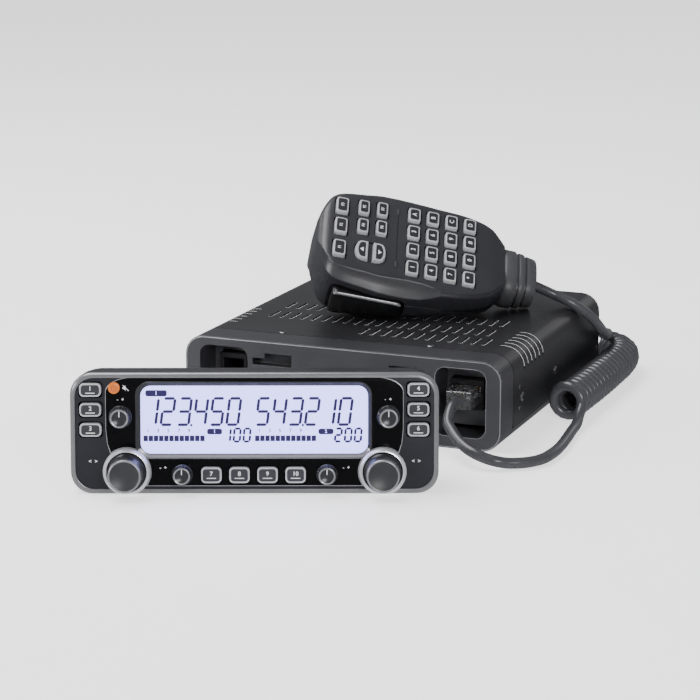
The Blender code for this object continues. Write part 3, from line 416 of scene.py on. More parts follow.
def cut(item, bm, place=UNIT):
    """Cut the bmesh's shape, in millimetres at its place, out of the item for good."""
    tool = added("cutter", placed_mesh("cutter", bm, place))
    carve = item.modifiers.new("carve", "BOOLEAN")
    carve.operation = "DIFFERENCE"
    carve.object = tool
    bpy.context.view_layer.update()
    done = bpy.data.meshes.new_from_object(item.evaluated_get(bpy.context.evaluated_depsgraph_get()))
    item.modifiers.remove(carve)
    bpy.data.objects.remove(tool)
    done.name = item.data.name
    item.data = done
    done.set_sharp_from_angle(angle=math.radians(35))


def refined(node, look, bevel=0.3, lit_front_look=None):
    """A CAD node with its facets joined into clean faces, its edges rounded and perhaps its front face given
    a lighter look than its other faces, as painted light and shade.
    """
    bm = bmesh.new()
    bm.from_mesh(frame["nodes"][node].data)
    bmesh.ops.remove_doubles(bm, verts=bm.verts, dist=2e-6)
    bmesh.ops.dissolve_limit(bm, angle_limit=math.radians(1.0), verts=bm.verts, edges=bm.edges)
    mesh = bpy.data.meshes.new(node + "_look")
    bm.to_mesh(mesh)
    bm.free()
    mesh.materials.append(look)
    # Painted light and shade: the foremost front faces take the lighter look, the rest of the moulding the
    # darker one.
    if lit_front_look:
        mesh.materials.append(lit_front_look)
        foremost = min(vertex.co.y for vertex in mesh.vertices)
        for face in mesh.polygons:
            face.material_index = int(face.normal.y < -0.9 and face.center.y < foremost + 0.1 * MM)
    item = added(node + "_look", mesh)
    soften(item, bevel)
    mesh.shade_smooth()
    mesh.set_sharp_from_angle(angle=math.radians(35))
    body = next(b for b, nodes in frame["record"]["behaviour"]["bodies"].items() if node in nodes)
    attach(item, body)
    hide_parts(node)
    return item


def smooth_points(route, steps):
    """Points on a Catmull-Rom curve through every point of the route."""
    guide = [Vector(p) for p in route]
    guide = [guide[0] * 2 - guide[1]] + guide + [guide[-1] * 2 - guide[-2]]
    points = []
    for i in range(1, len(guide) - 2):
        a, b, c, d = guide[i - 1:i + 3]
        for k in range(steps):
            t = k / steps
            points.append(0.5 * (2 * b + (c - a) * t + (2 * a - 5 * b + 4 * c - d) * t ** 2
                                 + (3 * b - a - 3 * c + d) * t ** 3))
    points.append(guide[-2])
    return points


def path_length(points):
    return sum((b - a).length for a, b in zip(points, points[1:]))


def point_at(points, share):
    """The point and direction a share of the way along a path."""
    target = path_length(points) * share
    for a, b in zip(points, points[1:]):
        step = (b - a).length
        if target <= step:
            return a.lerp(b, target / step), (b - a).normalized()
        target -= step
    return points[-1], (points[-1] - points[-2]).normalized()


def tube(bm, points, radius, sides, slot=0):
    """A round tube along points, its rings carried along without twisting."""
    side = Vector((0, 0, 1)).cross(points[1] - points[0]).normalized()
    rings = []
    for i, point in enumerate(points):
        ahead = points[min(i + 1, len(points) - 1)] - points[max(i - 1, 0)]
        ahead.normalize()
        side = (side - ahead * side.dot(ahead)).normalized()
        up = ahead.cross(side)
        ring = []
        for k in range(sides):
            angle = 2 * math.pi * k / sides
            ring.append(point + (side * math.cos(angle) + up * math.sin(angle)) * radius)
        rings.append(ring)
    loft(bm, rings, slot)


# ---------------------------------------------------------------- camera, light and floor

def make_camera():
    lens = bpy.data.cameras.new("camera")
    lens.lens = CAMERA_LENS
    lens.sensor_width = 36.0
    camera = added("camera", lens)
    camera.location = CAMERA_PLACE
    camera.rotation_euler = (CAMERA_TARGET - CAMERA_PLACE).to_track_quat("-Z", "Y").to_euler()
    bpy.context.scene.camera = camera


def softbox(name, place, target, width, height, power):
    light = bpy.data.lights.new(name, "AREA")
    light.shape = "RECTANGLE"
    light.size, light.size_y = width, height
    light.energy = power
    item = added(name, light)
    item.location = place
    item.rotation_euler = (Vector(target) - Vector(place)).to_track_quat("-Z", "Y").to_euler()


def make_studio():
    world = bpy.data.worlds.new("studio")
    world.use_nodes = True
    background = world.node_tree.nodes["Background"]
    background.inputs["Color"].default_value = (0.90, 0.91, 0.94, 1.0)
    background.inputs["Strength"].default_value = 0.25
    bpy.context.scene.world = world
    softbox("overhead", (-0.45, -0.05, 1.15), (-0.05, -0.05, 0), 0.95, 0.7, 17.0)
    softbox("left_side", (-1.25, 0.0, 0.75), (0, 0, 0.03), 1.1, 0.35, 5.0)
    softbox("front_right", (0.9, -1.15, 0.6), (0, 0, 0.05), 0.6, 0.3, 10.0)
    softbox("front_left", (-0.6, -0.8, 0.3), (-0.07, 0, 0.03), 0.4, 0.25, 3.0)
    softbox("back_right", (0.40, 2.0, 0.62), (0.05, 0, 0.02), 0.9, 0.25, 0.9)

    bm = bmesh.new()
    outline = ((-4, -3), (4, -3), (4, 6), (-4, 6))
    bm.faces.new([bm.verts.new((x, y, 0)) for x, y in outline])
    mesh = bpy.data.meshes.new("floor")
    bm.to_mesh(mesh)
    bm.free()
    paper = surface("studio_floor", (0.84, 0.84, 0.85), 0.6, mottle=0.01)
    shader = paper.node_tree.nodes["Principled BSDF"]
    shader.inputs["Emission Color"].default_value = (1.0, 1.0, 1.0, 1.0)
    shader.inputs["Emission Strength"].default_value = FLOOR_GLOW
    mesh.materials.append(paper)
    floor = added("floor", mesh)
    floor.visible_glossy = False


# ---------------------------------------------------------------- cord

def cord_path():
    """The whole cord's centreline: plug lead, coil, microphone lead."""
    spine = smooth_points(COIL_ROUTE, 10)
    coil = []
    steps = round(COIL_TURNS * 16)
    for i in range(steps + 1):
        share = i / steps
        centre, ahead = point_at(spine, share)
        across = ahead.cross(Vector((0, 0, 1))).normalized()
        angle = 2 * math.pi * COIL_TURNS * share
        extra = FIRST_TURN_EXTRA * max(0.0, 1 - share * COIL_TURNS)
        reach = across * math.cos(angle) + Vector((0, 0, 1)) * math.sin(angle)
        coil.append(centre + (COIL_RADIUS + extra) * reach + Vector((0, 0, extra)))
    lead_in = smooth_points(PLUG_LEAD_ROUTE + (coil[0], coil[3]), 4)[:-5]
    lead_out = smooth_points((coil[-4], coil[-1]) + MIC_LEAD_ROUTE, 6)[6:]
    return lead_in + coil + lead_out[1:]


def make_cord():
    points = cord_path()
    bm = bmesh.new()
    tube(bm, points, CORD_RADIUS, 12)
    cord = finish("curly_cord", bm, [JACKET], "main_unit",
                  replaces=("plug_lead", "cord_coil", "mic_lead"), angle=60)
    world = cord.matrix_world.copy()
    cord.parent = None
    cord.matrix_world = world
    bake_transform(cord)
    plug = make_plug()


def make_plug():
    """The clear modular plug with its gold contacts, latch and the jacket inside it."""
    bm = bmesh.new()
    x0, x1, y0 = PLUG_X - 5.7, PLUG_X + 5.7, PLUG_FRONT_Y
    z0, z1 = PLUG_Z - 3.9, PLUG_Z + 3.9
    rings = []
    for y, grow in ((y0, -0.35), (y0 + 0.35, 0.0), (y0 + 20.5, 0.0), (y0 + 20.9, -0.4)):
        rings.append([(x0 - grow, y, z0 - grow), (x1 + grow, y, z0 - grow),
                      (x1 + grow, y, z1 + grow), (x0 - grow, y, z1 + grow)])
    loft(bm, rings, 0)
    box(bm, PLUG_X - 2.7, PLUG_X + 2.7, y0 + 3.6, y0 + 17, z0 - 1.3, z0 - 0.3, 0)
    lathe(bm, ((0.01, 0.4), (2.3, 0.4), (2.3, 7.0), (0.01, 7.0)), 20, 2,
          Matrix.Translation((PLUG_X, y0, PLUG_Z)))
    for i in range(8):
        x = PLUG_X + (i - 3.5) * 1.02
        box(bm, x - 0.2, x + 0.2, y0 + 15, y0 + 19.5, z1 - 2.0, z1 - 0.3, 1)
        box(bm, x - 0.25, x + 0.25, y0 + 7.0, y0 + 15, PLUG_Z - 0.3, PLUG_Z + 0.3, 3)
    return finish("modular_plug", bm, [CLEAR, GOLD, JACKET, KEY_RIM], "main_unit",
                  replaces=("mic_plug",), merge=False)


# ---------------------------------------------------------------- main unit

def screw(bm, place, radius, slot=0):
    """A pan head with a cross cut, facing the place's -y; the cross takes the next slot, which the unit's
    screws fill with near black painted shade.
    """
    lathe(bm, ((0.01, 0.3), (radius, 0.3), (radius, -0.12 * radius), (0.8 * radius, -0.26 * radius),
               (0.01, -0.32 * radius)), 24, slot, place)
    for turn in (0, 90):
        arm = place @ Matrix.Rotation(math.radians(turn), 4, "Y")
        box(bm, -0.55 * radius, 0.55 * radius, -0.34 * radius, -0.2 * radius, -0.12 * radius,
            0.12 * radius, slot + 1, arm)


def make_main_unit():
    # The front panel's front face is painted lighter than its top and sides: painted light and shade.
    refined("front_panel", PANEL_SIDE_SHADED, 0.5, PANEL)
    plain = (("top_cover", COVER, 0.22), ("bottom_cover", COVER, 0.2), ("chassis", CAST, 0.3),
             ("microphone_jack", NYLON, 0.3), ("head_jack", NYLON, 0.3), ("antenna_socket", METAL, 0.25),
             ("power_inlet", NYLON, 0.3), ("fan_guard", METAL, 0.25), ("fan_frame", NYLON, 0.3),
             ("fan_rotor", NYLON, 0.15), ("data_socket", NYLON, 0.15), ("speaker_jack_a", METAL, 0.15),
             ("speaker_jack_b", METAL, 0.15))
    for node, look, bevel in plain:
        refined(node, look, bevel)

    bm = bmesh.new()
    facing_up = Matrix.Rotation(math.radians(-90), 4, "X")
    for x in (-35.5, 35.5):
        screw(bm, Matrix.Translation((x, -56.6, UNIT_HEIGHT)) @ facing_up, 1.6)
    for side in (1, -1):
        turn = Matrix.Rotation(math.radians(90 * side), 4, "Z")
        for y, z, radius in ((-46.7, 18.5, 2.2), (2.8, 19.0, 2.0), (-50.5, 23.8, 1.0),
                             (-50.0, 14.1, 1.0), (72.0, 14.2, 1.1)):
            place = Matrix.Translation((side * 75.0, y, z))
            screw(bm, place @ turn, radius)
    # The screws' crosses are near black: painted shade in the recesses.
    finish("unit_screws", bm, [SCREW, SCREW_RECESS_SHADE], "main_unit")
    make_front_lines()
    make_slot_lips()


def make_front_lines():
    """Painted highlights: a bright strip along the rounded edge of the front face, and a finer one round the
    plug's recess.
    """
    bm = bmesh.new()
    edge = rounded_rectangle(0, UNIT_HEIGHT / 2, 150.0, UNIT_HEIGHT, 9.0, 12)
    edge_rows = ((0.02, 0.55), (0.12, 0.2), (0.4, -0.02), (0.75, -0.04), (0.85, 0.03))
    recess = rounded_rectangle(56.15, 20.75, 23.3, 30.5, 4.5, 8)
    recess_rows = ((-0.22, 0.03), (-0.18, -0.02), (0.0, -0.02), (0.04, 0.4))
    for outline, rows in ((edge, edge_rows), (recess, recess_rows)):
        loft(bm, [at_depth(inset(outline, shrink), FRONT_Y + depth) for shrink, depth in rows], caps=False)
    finish("front_edge_highlights", bm, [PANEL_EDGE_HIGHLIGHT], "main_unit", merge=False)


def make_slot_lips():
    """Painted highlights on the far walls of the cover's slots: six round each shoulder and three rows across
    the top.
    """
    bm = bmesh.new()
    for side in (-1, 1):
        shoulder = arc(75.0 - SHOULDER, UNIT_HEIGHT - SHOULDER, SHOULDER - 0.04, 4, 90, 12)
        path = shoulder + [(75.0 - 11.2, UNIT_HEIGHT - 0.04)]
        for i in range(6):
            y = -44.0 + 5.5 * i
            back = [(side * x, y + 0.74, z) for x, z in path]
            front = [(side * x, y + 0.02, z) for x, z in path]
            loft(bm, [front, back], caps=False, closed=False)
    for x_start, y_start, count in VENT_ROWS:
        for i in range(count):
            x = x_start + 5.32 * i + 0.78
            box(bm, x - 0.34, x, y_start + 0.3, y_start + 11.7, UNIT_HEIGHT - 1.2, UNIT_HEIGHT - 0.04)
            box(bm, x - 1.5, x, y_start + 0.02, y_start + 0.5, UNIT_HEIGHT - 1.2, UNIT_HEIGHT - 0.04)
    finish("slot_highlights", bm, [SLOT_LIP_HIGHLIGHT], "main_unit", merge=False)


# ---------------------------------------------------------------- control head

def head_outline(shrink, radius, depth=0.0):
    """The head's section at a depth: its underside rises to the back so that it stands flat."""
    rise = math.tan(HEAD_LEAN) * max(0.0, depth) + 0.08
    top = HEAD_H - 0.02 * max(0.0, depth) - shrink
    width = HEAD_W - 2 * shrink - 0.24 * max(0.0, depth)
    bottom = rise + shrink
    return rounded_rectangle(0, (top + bottom) / 2, width, top - bottom, radius, 8)


def gloss_outline(grow=0.0):
    """The gloss panel: wide above, and hollowed at the bottom round the two dial collars."""
    top, bottom, side = 48.0 + grow, 3.6 - grow, 60.3 + grow
    radius = 10.0 - grow
    drop = math.degrees(math.asin((DIAL_Z - bottom) / radius))
    right = arc(DIAL_X, DIAL_Z, radius, 180 + drop, 50 - 13 * grow, 16) + [(side - 0.6, 21.0), (side, 27.0)]
    right += [(side - 11 + 11 * c, top - 6 + 6 * s) for c, s in arc(0, 0, 1, 0, 90, 10)]
    return right + [(-x, z) for x, z in reversed(right)]


def at_depth(outline, y):
    return [(x, y, z) for x, z in outline]


def make_head_case():
    """Rim and shell: the rim is the bright rounded edge that frames the darker face."""
    bm = bmesh.new()
    rings = [at_depth(head_outline(2.3, 7.6), 0.9), at_depth(head_outline(2.2, 7.6), 0.15),
             at_depth(head_outline(1.9, 7.8), 0.0), at_depth(head_outline(1.3, 8.3), 0.1),
             at_depth(head_outline(0.65, 8.7), 0.5), at_depth(head_outline(0.2, 9.0), 1.2),
             at_depth(head_outline(0.0, 9.0, 2.0), 2.0)]
    loft(bm, rings, 0, caps=False)
    rings = [at_depth(head_outline(0.0, 9.0, 2.0), 2.0), at_depth(head_outline(0.0, 8.6, 6.0), 6.0),
             at_depth(head_outline(0.0, 8.0, 13.0), 13.0), at_depth(head_outline(1.5, 7.0, 13.0), 13.0)]
    loft(bm, rings, 1, caps=False)
    finish("head_rim", bm, [RIM, SHELL], "control_head", HEAD, angle=45)

    bm = bmesh.new()
    face = head_outline(2.2, 7.7)
    plate(bm, face, 0.35, 3.0, 0.3)
    case = finish("head_face", bm, [FACE], "control_head", HEAD, replaces=("head_front_case",))
    holes = bmesh.new()
    plate(holes, gloss_outline(0.15), -2.0, 1.6, 0.01)
    for side in (-1, 1):
        for z in SIDE_KEYS_Z:
            plate(holes, rounded_rectangle(side * SIDE_KEY_X, z, 9.9, 6.7, 1.7), -2.0, 3.6, 0.01)
    cut(case, holes, HEAD)
    refined("head_rear_case", SHELL, 0.6)
    refined("remote_jack", NYLON, 0.2)


def make_gloss_panel():
    bm = bmesh.new()
    plate(bm, gloss_outline(), 0.15, 1.4, 0.25)
    panel = finish("gloss_panel_look", bm, [GLOSS], "control_head", HEAD, replaces=("gloss_panel",))
    holes = bmesh.new()
    plate(holes, rounded_rectangle(-0.3, LCD_Z - 0.1, 96.0, 31.6, 5.6, 8), -2.0, 3.0, 0.01)
    for x in LOWER_KEYS_X:
        plate(holes, rounded_rectangle(x, LOWER_KEY_Z, 9.5, 7.9, 1.8), -2.0, 1.15, 0.01)
    cut(panel, holes, HEAD)

    # A thin pale strip round the gloss panel's edge: a painted highlight where its bevel catches the light.
    bm = bmesh.new()
    loft(bm, [at_depth(gloss_outline(0.15), 0.24), at_depth(gloss_outline(-0.12), 0.11)], caps=False)
    finish("gloss_edge_highlight_line", bm, [GLOSS_EDGE_HIGHLIGHT], "control_head", HEAD)


def make_collars():
    for side, word in SIDES:
        bm = bmesh.new()
        profile = ((9.7, 0.6), (9.7, -0.2), (9.45, -0.75), (8.7, -1.7), (8.35, -1.8), (8.15, -1.6),
                   (8.1, 0.6))
        place = Matrix.Translation((side * DIAL_X, 0, DIAL_Z))
        lathe(bm, profile, 64, 0, place)
        ring = finish(f"dial_collar_{word}", bm, [COLLAR], "control_head", HEAD)
        trim = bmesh.new()
        box(trim, side * DIAL_X - 12, side * DIAL_X + 12, -4, 2, -4, 0.5)
        cut(ring, trim, HEAD)


# Segment strokes of a seven-segment digit: a top, b and c right, d bottom, e and f left, g middle
DIGITS = {"0": "abcdef", "1": "bc", "2": "abged", "3": "abgcd", "4": "fgbc", "5": "afgcd"}


def segment_digit(bm, digit, left, bottom, width, height, stroke, slant, slot):
    half = height / 2
    gap = stroke * 0.12
    inner = width - stroke
    ends = {
        "a": ((0, height - stroke / 2), (inner, height - stroke / 2)), "g": ((0, half), (inner, half)),
        "d": ((0, stroke / 2), (inner, stroke / 2)), "f": ((0, half), (0, height - stroke / 2)),
        "e": ((0, stroke / 2), (0, half)), "b": ((inner, half), (inner, height - stroke / 2)),
        "c": ((inner, stroke / 2), (inner, half)),
    }
    for name in DIGITS[digit]:
        (u0, v0), (u1, v1) = ends[name]
        along = Vector((u1 - u0, v1 - v0)).normalized()
        across = Vector((-along.y, along.x)) * stroke / 2
        start = Vector((u0, v0)) + along * gap
        stop = Vector((u1, v1)) - along * gap
        corners = [start, start + along * stroke * 0.4 + across, stop - along * stroke * 0.4 + across,
                   stop, stop - along * stroke * 0.4 - across, start + along * stroke * 0.4 - across]
        outline = [(left + stroke / 2 + c.x + slant * (c.y - height / 2), bottom + c.y) for c in corners]
        if name in "febc":
            outline.reverse()
        flat_patch(bm, outline, slot)


INK_FRONT, INK_BACK = 0.93, 1.02


def flat_patch(bm, outline, slot):
    """A thin patch of ink standing just off the display."""
    loft(bm, [at_depth(outline, INK_BACK), at_depth(outline, INK_FRONT)], slot)


def badge(bm, text, left, right, low, high):
    flat_patch(bm, rounded_rectangle((left + right) / 2, (low + high) / 2, right - left, high - low,
                                     0.8, 3), 1)
    lettering(bm, text, (high - low) * 0.62, on_face((left + right) / 2, (low + high) / 2, 0.91), 0)


def make_display():
    bm = bmesh.new()
    outer = rounded_rectangle(-0.3, LCD_Z - 0.1, 96.0, 31.6, 5.6, 8)
    rings = [at_depth(outer, 0.9), at_depth(outer, 0.15), at_depth(inset(outer, 0.2), -0.02),
             at_depth(inset(outer, 0.45), 0.02), at_depth(rounded_rectangle(-0.1, LCD_Z, LCD_W + 0.7,
                                                                            LCD_H + 0.7, 4.4, 8), 0.95),
             at_depth(rounded_rectangle(-0.1, LCD_Z, LCD_W, LCD_H, 4.1, 8), 1.0)]
    loft(bm, rings, 0, caps=False)
    bmesh.ops.recalc_face_normals(bm, faces=bm.faces)
    # The lower chamfer, which faces up, is painted pale: a painted highlight.
    for face in bm.faces:
        if abs(face.normal.z) > 0.25 and face.calc_center_median().z < LCD_Z - 8:
            face.material_index = 1
    finish("display_bezel", bm, [BEZEL, DISPLAY_LIP_HIGHLIGHT], "control_head", HEAD, angle=30)

    bm = bmesh.new()
    plate(bm, rounded_rectangle(-0.1, LCD_Z, LCD_W + 0.6, LCD_H + 0.6, 4.3, 8), 1.0, 1.8, 0.05, 0)
    for text, left in (("123450", -44.6), ("543210", 0.6)):
        for i, digit in enumerate(text):
            segment_digit(bm, digit, left + 6.67 * i, 28.0, 5.7, 11.9, 1.15, 0.13, 1)
    for point in (-25.7, 19.6):
        flat_patch(bm, rounded_rectangle(point, 28.4, 0.9, 0.9, 0.2, 2), 1)
    for text, left in (("100", -12.8), ("200", 32.3)):
        for i, digit in enumerate(text):
            segment_digit(bm, digit, left + 4.0 * i, 21.2, 3.4, 6.2, 0.92, 0.08, 1)
    for start in (-45.0, 0.25):
        for i in range(12):
            flat_patch(bm, rounded_rectangle(start + 0.8 + 2.09 * i, 22.95, 1.82, 2.3, 0.1, 1), 1)
        for i in range(5):
            lettering(bm, str(2 * i + 1), 1.5, on_face(start + 1.7 + 4.18 * i, 26.1, INK_FRONT), 2, 0.03)
    badge(bm, "1", -44.2, -35.5, 40.2, 42.7)
    badge(bm, "1", -19.3, -13.2, 24.6, 26.9)
    badge(bm, "2", 25.9, 32.0, 24.6, 26.9)
    finish("display_look", bm, [BACKLIGHT, INK, PALE_INK], "control_head", HEAD,
           replaces=("display_window", "lcd_module"), merge=False)


def on_head(x, z):
    return HEAD @ Matrix.Translation(Vector((x, 0, z)) * MM)


def make_head_key(node, x, z, width, height, number):
    """A key with a pale rim and a darker sunken face that bears a number over a short bar."""
    bm = bmesh.new()
    outer = rounded_rectangle(0, 0, width - 0.3, height - 0.4, 1.8)
    inner = rounded_rectangle(0, 0, width - 1.7, height - 1.8, 1.2)
    rings = [at_depth(outer, 2.2), at_depth(outer, -0.8), at_depth(inset(outer, 0.12), -1.08),
             at_depth(inset(outer, 0.35), -1.2), at_depth(inset(inner, -0.15), -1.2),
             at_depth(inner, -1.05)]
    loft(bm, rings, 0, caps=False)
    back = [bm.verts.new(p) for p in at_depth(outer, 2.2)]
    bm.faces.new(back).material_index = 0
    front = [bm.verts.new(p) for p in at_depth(inner, -1.05)]
    bm.faces.new(front).material_index = 1
    lettering(bm, str(number), 1.8, on_face(0, 0.55, -1.07), 2)
    box(bm, -1.9, 1.9, -1.08, -1.04, -1.4, -1.1, 2)
    finish(node.replace("key", "key_cap"), bm, [KEY_RIM, KEY_FACE, PRINT], node + "_body", on_head(x, z),
           replaces=(node,))


def make_head_keys():
    for side, word in SIDES:
        for row, z in enumerate(SIDE_KEYS_Z, 1):
            number = row if side < 0 else row + len(SIDE_KEYS_Z)
            make_head_key(f"{word}_key_{row}", side * SIDE_KEY_X, z, 9.1, 5.9, number)
    for i, x in enumerate(LOWER_KEYS_X, 1):
        number = i + 2 * len(SIDE_KEYS_Z)
        make_head_key(f"lower_key_{i}", x, LOWER_KEY_Z, 8.6, 6.9, number)
    bm = bmesh.new()
    lathe(bm, ((0.01, 2.0), (2.4, 2.0), (2.4, -0.7), (2.25, -1.0), (1.9, -1.15), (0.01, -1.2)), 32)
    ring = arc(0, -0.1, 0.95, 125, 415, 14) + arc(0, -0.1, 1.2, 415, 125, 14)
    bm.faces.new([bm.verts.new(p) for p in at_depth(ring, -1.24)]).material_index = 1
    box(bm, -0.13, 0.13, -1.25, -1.1, 0.15, 1.35, 1)
    finish("power_key_cap", bm, [POWER, POWER_MARK], "power_key_body", on_head(-56.8, 43.8),
           replaces=("power_key",), merge=False)


def make_knobs():
    dial = ((0.01, -0.35), (7.75, -0.35), (7.75, -1.6), (7.55, -2.0), (7.2, -2.2), (7.0, -2.6),
            (6.85, -10.9), (6.75, -11.5))
    cap_ring = ((6.75, -11.5), (6.45, -11.95), (6.2, -12.1), (5.95, -12.1))
    cap = ((5.95, -12.1), (5.7, -11.9), (0.01, -11.85))
    for side, word in SIDES:
        bm = bmesh.new()
        lathe(bm, dial, 72, 0, flutes=36, flute_depth=0.2, fluted_rows=(5, 6), caps=False)
        # The cap's rim ring is painted pale: a painted highlight.
        lathe(bm, cap_ring, 72, 2, caps=False)
        lathe(bm, cap, 72, 1, caps=False)
        name = f"main_dial_{word}"
        finish(name + "_look", bm, [KNOB, DIAL_CAP, KNOB_RING_HIGHLIGHT], name + "_body",
               on_head(side * DIAL_X, DIAL_Z), replaces=(name,), angle=50)
        for kind, x, z, radius, tall in (("volume_knob", VOLUME_X, VOLUME_Z, 4.75, 6.5),
                                         ("squelch_knob", SQUELCH_X, SQUELCH_Z, 4.35, 5.5)):
            bm = bmesh.new()
            rows = ((0.01, -0.3), (radius, -0.3), (radius, -0.9), (radius * 0.97, -1.2),
                    (radius * 0.93, -1.4), (radius * 0.88, -tall + 0.8),
                    (radius * 0.84, -tall + 0.25), (radius * 0.78, -tall))
            ring = ((radius * 0.78, -tall), (radius * 0.70, -tall), (radius * 0.64, -tall + 0.25))
            middle = ((radius * 0.64, -tall + 0.25), (0.01, -tall + 0.35))
            lathe(bm, rows, 72, 0, flutes=18, flute_depth=0.34, fluted_rows=(4, 5), caps=False)
            # The top's rim ring is painted pale: a painted highlight.
            lathe(bm, ring, 72, 2, caps=False)
            lathe(bm, middle, 72, 0, caps=False)
            box(bm, -0.14, 0.14, -tall + 0.05, -tall + 0.5, radius * 0.15, radius * 0.62, 1)
            name = f"{kind}_{word}"
            finish(name + "_look", bm, [KNOB, PRINT, KNOB_RING_HIGHLIGHT], name + "_body", on_head(side * x, z),
                   replaces=(name,), angle=50)


def make_head_print():
    bm = bmesh.new()
    for side in (-1, 1):
        lettering(bm, "<  >", 1.55, on_face(side * 65.6, 13.6, 0.33))
        lettering(bm, "-  +", 1.45, on_face(side * 54.2, 39.0, 0.13))
        lettering(bm, "-  +", 1.45, on_face(side * 37.2, 11.0, 0.13))
    speaker = ((-1.0, -0.4), (-0.5, -0.4), (0.2, -1.0), (0.2, 1.0), (-0.5, 0.4), (-1.0, 0.4))
    bm.faces.new([bm.verts.new((-52.3 + x, 0.1, 43.7 + z)) for x, z in speaker])
    strike = Matrix.Translation((-52.0, 0.1, 43.7)) @ Matrix.Rotation(math.radians(45), 4, "Y")
    box(bm, -1.6, 1.6, -0.04, 0.04, -0.13, 0.13, 0, strike)
    finish("head_print", bm, [PRINT], "control_head", HEAD, merge=False)


# ---------------------------------------------------------------- hand microphone

HALF_WIDTHS = ((0, 9), (1, 12.5), (3, 18), (5.5, 23), (9, 26.5), (15, 28.4), (23, 29.6),
               (31, 30.9), (45, 30.5), (59, 29.3), (72, 28), (80, 25.8), (86, 22.6), (89, 19),
               (92.5, 14.6))
FACE_HEIGHTS = ((0, 28.4), (0.8, 30.2), (2, 31.5), (3.5, 32.2), (5.5, MIC_FACE_Z), (84, MIC_FACE_Z),
                (89, 31.8), (92.5, 30.8))
BACK_HEIGHTS = ((0, 5), (1, 3.4), (3, 1.5), (5.5, 0), (9, -0.8), (20, -1), (70, 10.5), (92.5, 11.2))
NEAR_CHAMFERS = ((0, 2.6), (5, 3.8), (15, 4.6), (30, 5.4), (45, 5.6), (53, 4.6), (62, 1.7), (92.5, 1.7))
NEAR_DROPS = ((0, 2.6), (5, 4.6), (30, 5.6), (48, 6.4), (55, 5.2), (62, 1.9), (92.5, 1.9))
FAR_CHAMFERS = ((0, 3), (5, 4.2), (59, 4.4), (92.5, 3.2))
FAR_DROPS = ((0, 2.5), (5, 3.6), (59, 3.8), (92.5, 2.8))
SHELL_START, SHELL_END = 1.2, 90.8
SHELL_STATIONS = (0, 0.4, 1, 2, 3, 4.2, 5.5, 7, 9, 12, 15, 19, 23, 27, 31, 38, 45, 52, 57, 59, 61,
                  63, 66, 69, 72, 75, 78, 80, 82, 84, 86, 87.5, 89, 90.5, 91.7, 92.5)


def read(table, x):
    """A value from (x, value) pairs along a smooth curve through them."""
    last = len(table) - 1
    for i in range(last):
        (x0, v0), (x1, v1) = table[i], table[i + 1]
        if x <= x1:
            before = table[i - 1] if i else table[0]
            after = table[i + 2] if i + 2 <= last else table[last]
            slope0 = (v1 - before[1]) / (x1 - before[0])
            slope1 = (after[1] - v0) / (after[0] - x0)
            t, step = (x - x0) / (x1 - x0), x1 - x0
            return (v0 * (2 * t ** 3 - 3 * t ** 2 + 1) + v1 * (3 * t ** 2 - 2 * t ** 3)
                    + step * (slope0 * (t ** 3 - 2 * t ** 2 + t) + slope1 * (t ** 3 - t ** 2)))
    return table[last][1]


def front_side(x, chamfers, drops):
    """Half section of the front shell from the middle of the face out and down to the seam.

    The face rolls over a short steep step into a flat slanted facet, which ends in a crisp edge.
    """
    w, top = read(HALF_WIDTHS, x), read(FACE_HEIGHTS, x)
    chamfer, drop = read(chamfers, x), read(drops, x)
    edge, low = w - chamfer, top - drop
    step = min(1.0, chamfer / 4)
    return [(0, top), (edge * 0.5, top), (edge - 1.6, top), (edge - 0.7, top - 0.06),
            (edge - 0.1, top - 0.35 * step), (edge + 0.25 * step, top - 0.9 * step),
            (edge + 0.6 * step, top - 1.5 * step),
            (edge + 0.5 * chamfer, low + 0.48 * (drop - 1.5 * step)), (w - 0.45, low + 0.18),
            (w - 0.1, low - 0.2),
            (w, low - 0.7), (w, (low - 0.8 + MIC_SPLIT) / 2), (w, MIC_SPLIT + 0.2),
            (w - 0.25, MIC_SPLIT + 0.05)]


def front_section(x):
    far = front_side(x, FAR_CHAMFERS, FAR_DROPS)
    near = front_side(x, NEAR_CHAMFERS, NEAR_DROPS)
    return far + [(-y, z) for y, z in reversed(near[1:])]


def rear_section(x):
    """Section of the rear shell from one side of the seam round the back to the other."""
    w, low = read(HALF_WIDTHS, x), read(BACK_HEIGHTS, x)
    run = min(11.5, w - 1.0)
    half = [(w - 0.25, MIC_SPLIT - 0.05), (w, MIC_SPLIT - 0.2), (w, low + 12.0), (w, low + 9.4),
            (w - 0.03 * run, low + 8.2), (w - 0.1 * run, low + 7.3), (w - 0.5 * run, low + 4.0),
            (w - 0.92 * run, low + 0.65), (w - 1.05 * run, low + 0.15), (w - 1.25 * run, low),
            (0, low)]
    return half + [(-y, z) for y, z in reversed(half[:-1])]


def shell_loft(bm, section):
    """A shell through its sections, drawn in a little at both ends."""
    rings = []
    for x in SHELL_STATIONS:
        along = SHELL_START + (SHELL_END - SHELL_START) * x / SHELL_STATIONS[-1]
        rings.append([(along, y, z) for y, z in section(x)])
    loft(bm, rings)


def face_plate(bm, cx, cy, width, height, radius, z0, z1, slot=0, taper=0.0):
    """A rounded block standing on the microphone's face, narrower at the top by the taper."""
    base = rounded_rectangle(cx, cy, width, height, radius, 4)
    top = inset(base, taper)
    rings = [[(x, y, z0) for x, y in base], [(x, y, z1 - 0.25) for x, y in top],
             [(x, y, z1 - 0.07) for x, y in inset(top, 0.07)], [(x, y, z1) for x, y in inset(top, 0.25)]]
    loft(bm, rings, slot)


KEY_POCKET_Z, ABOVE_FACE = 29.4, 36.0


def number_key_place(row, column):
    return NUMBER_KEYS_START + NUMBER_PITCH_X * column, NUMBER_PITCH_Y * (row - 1.5)


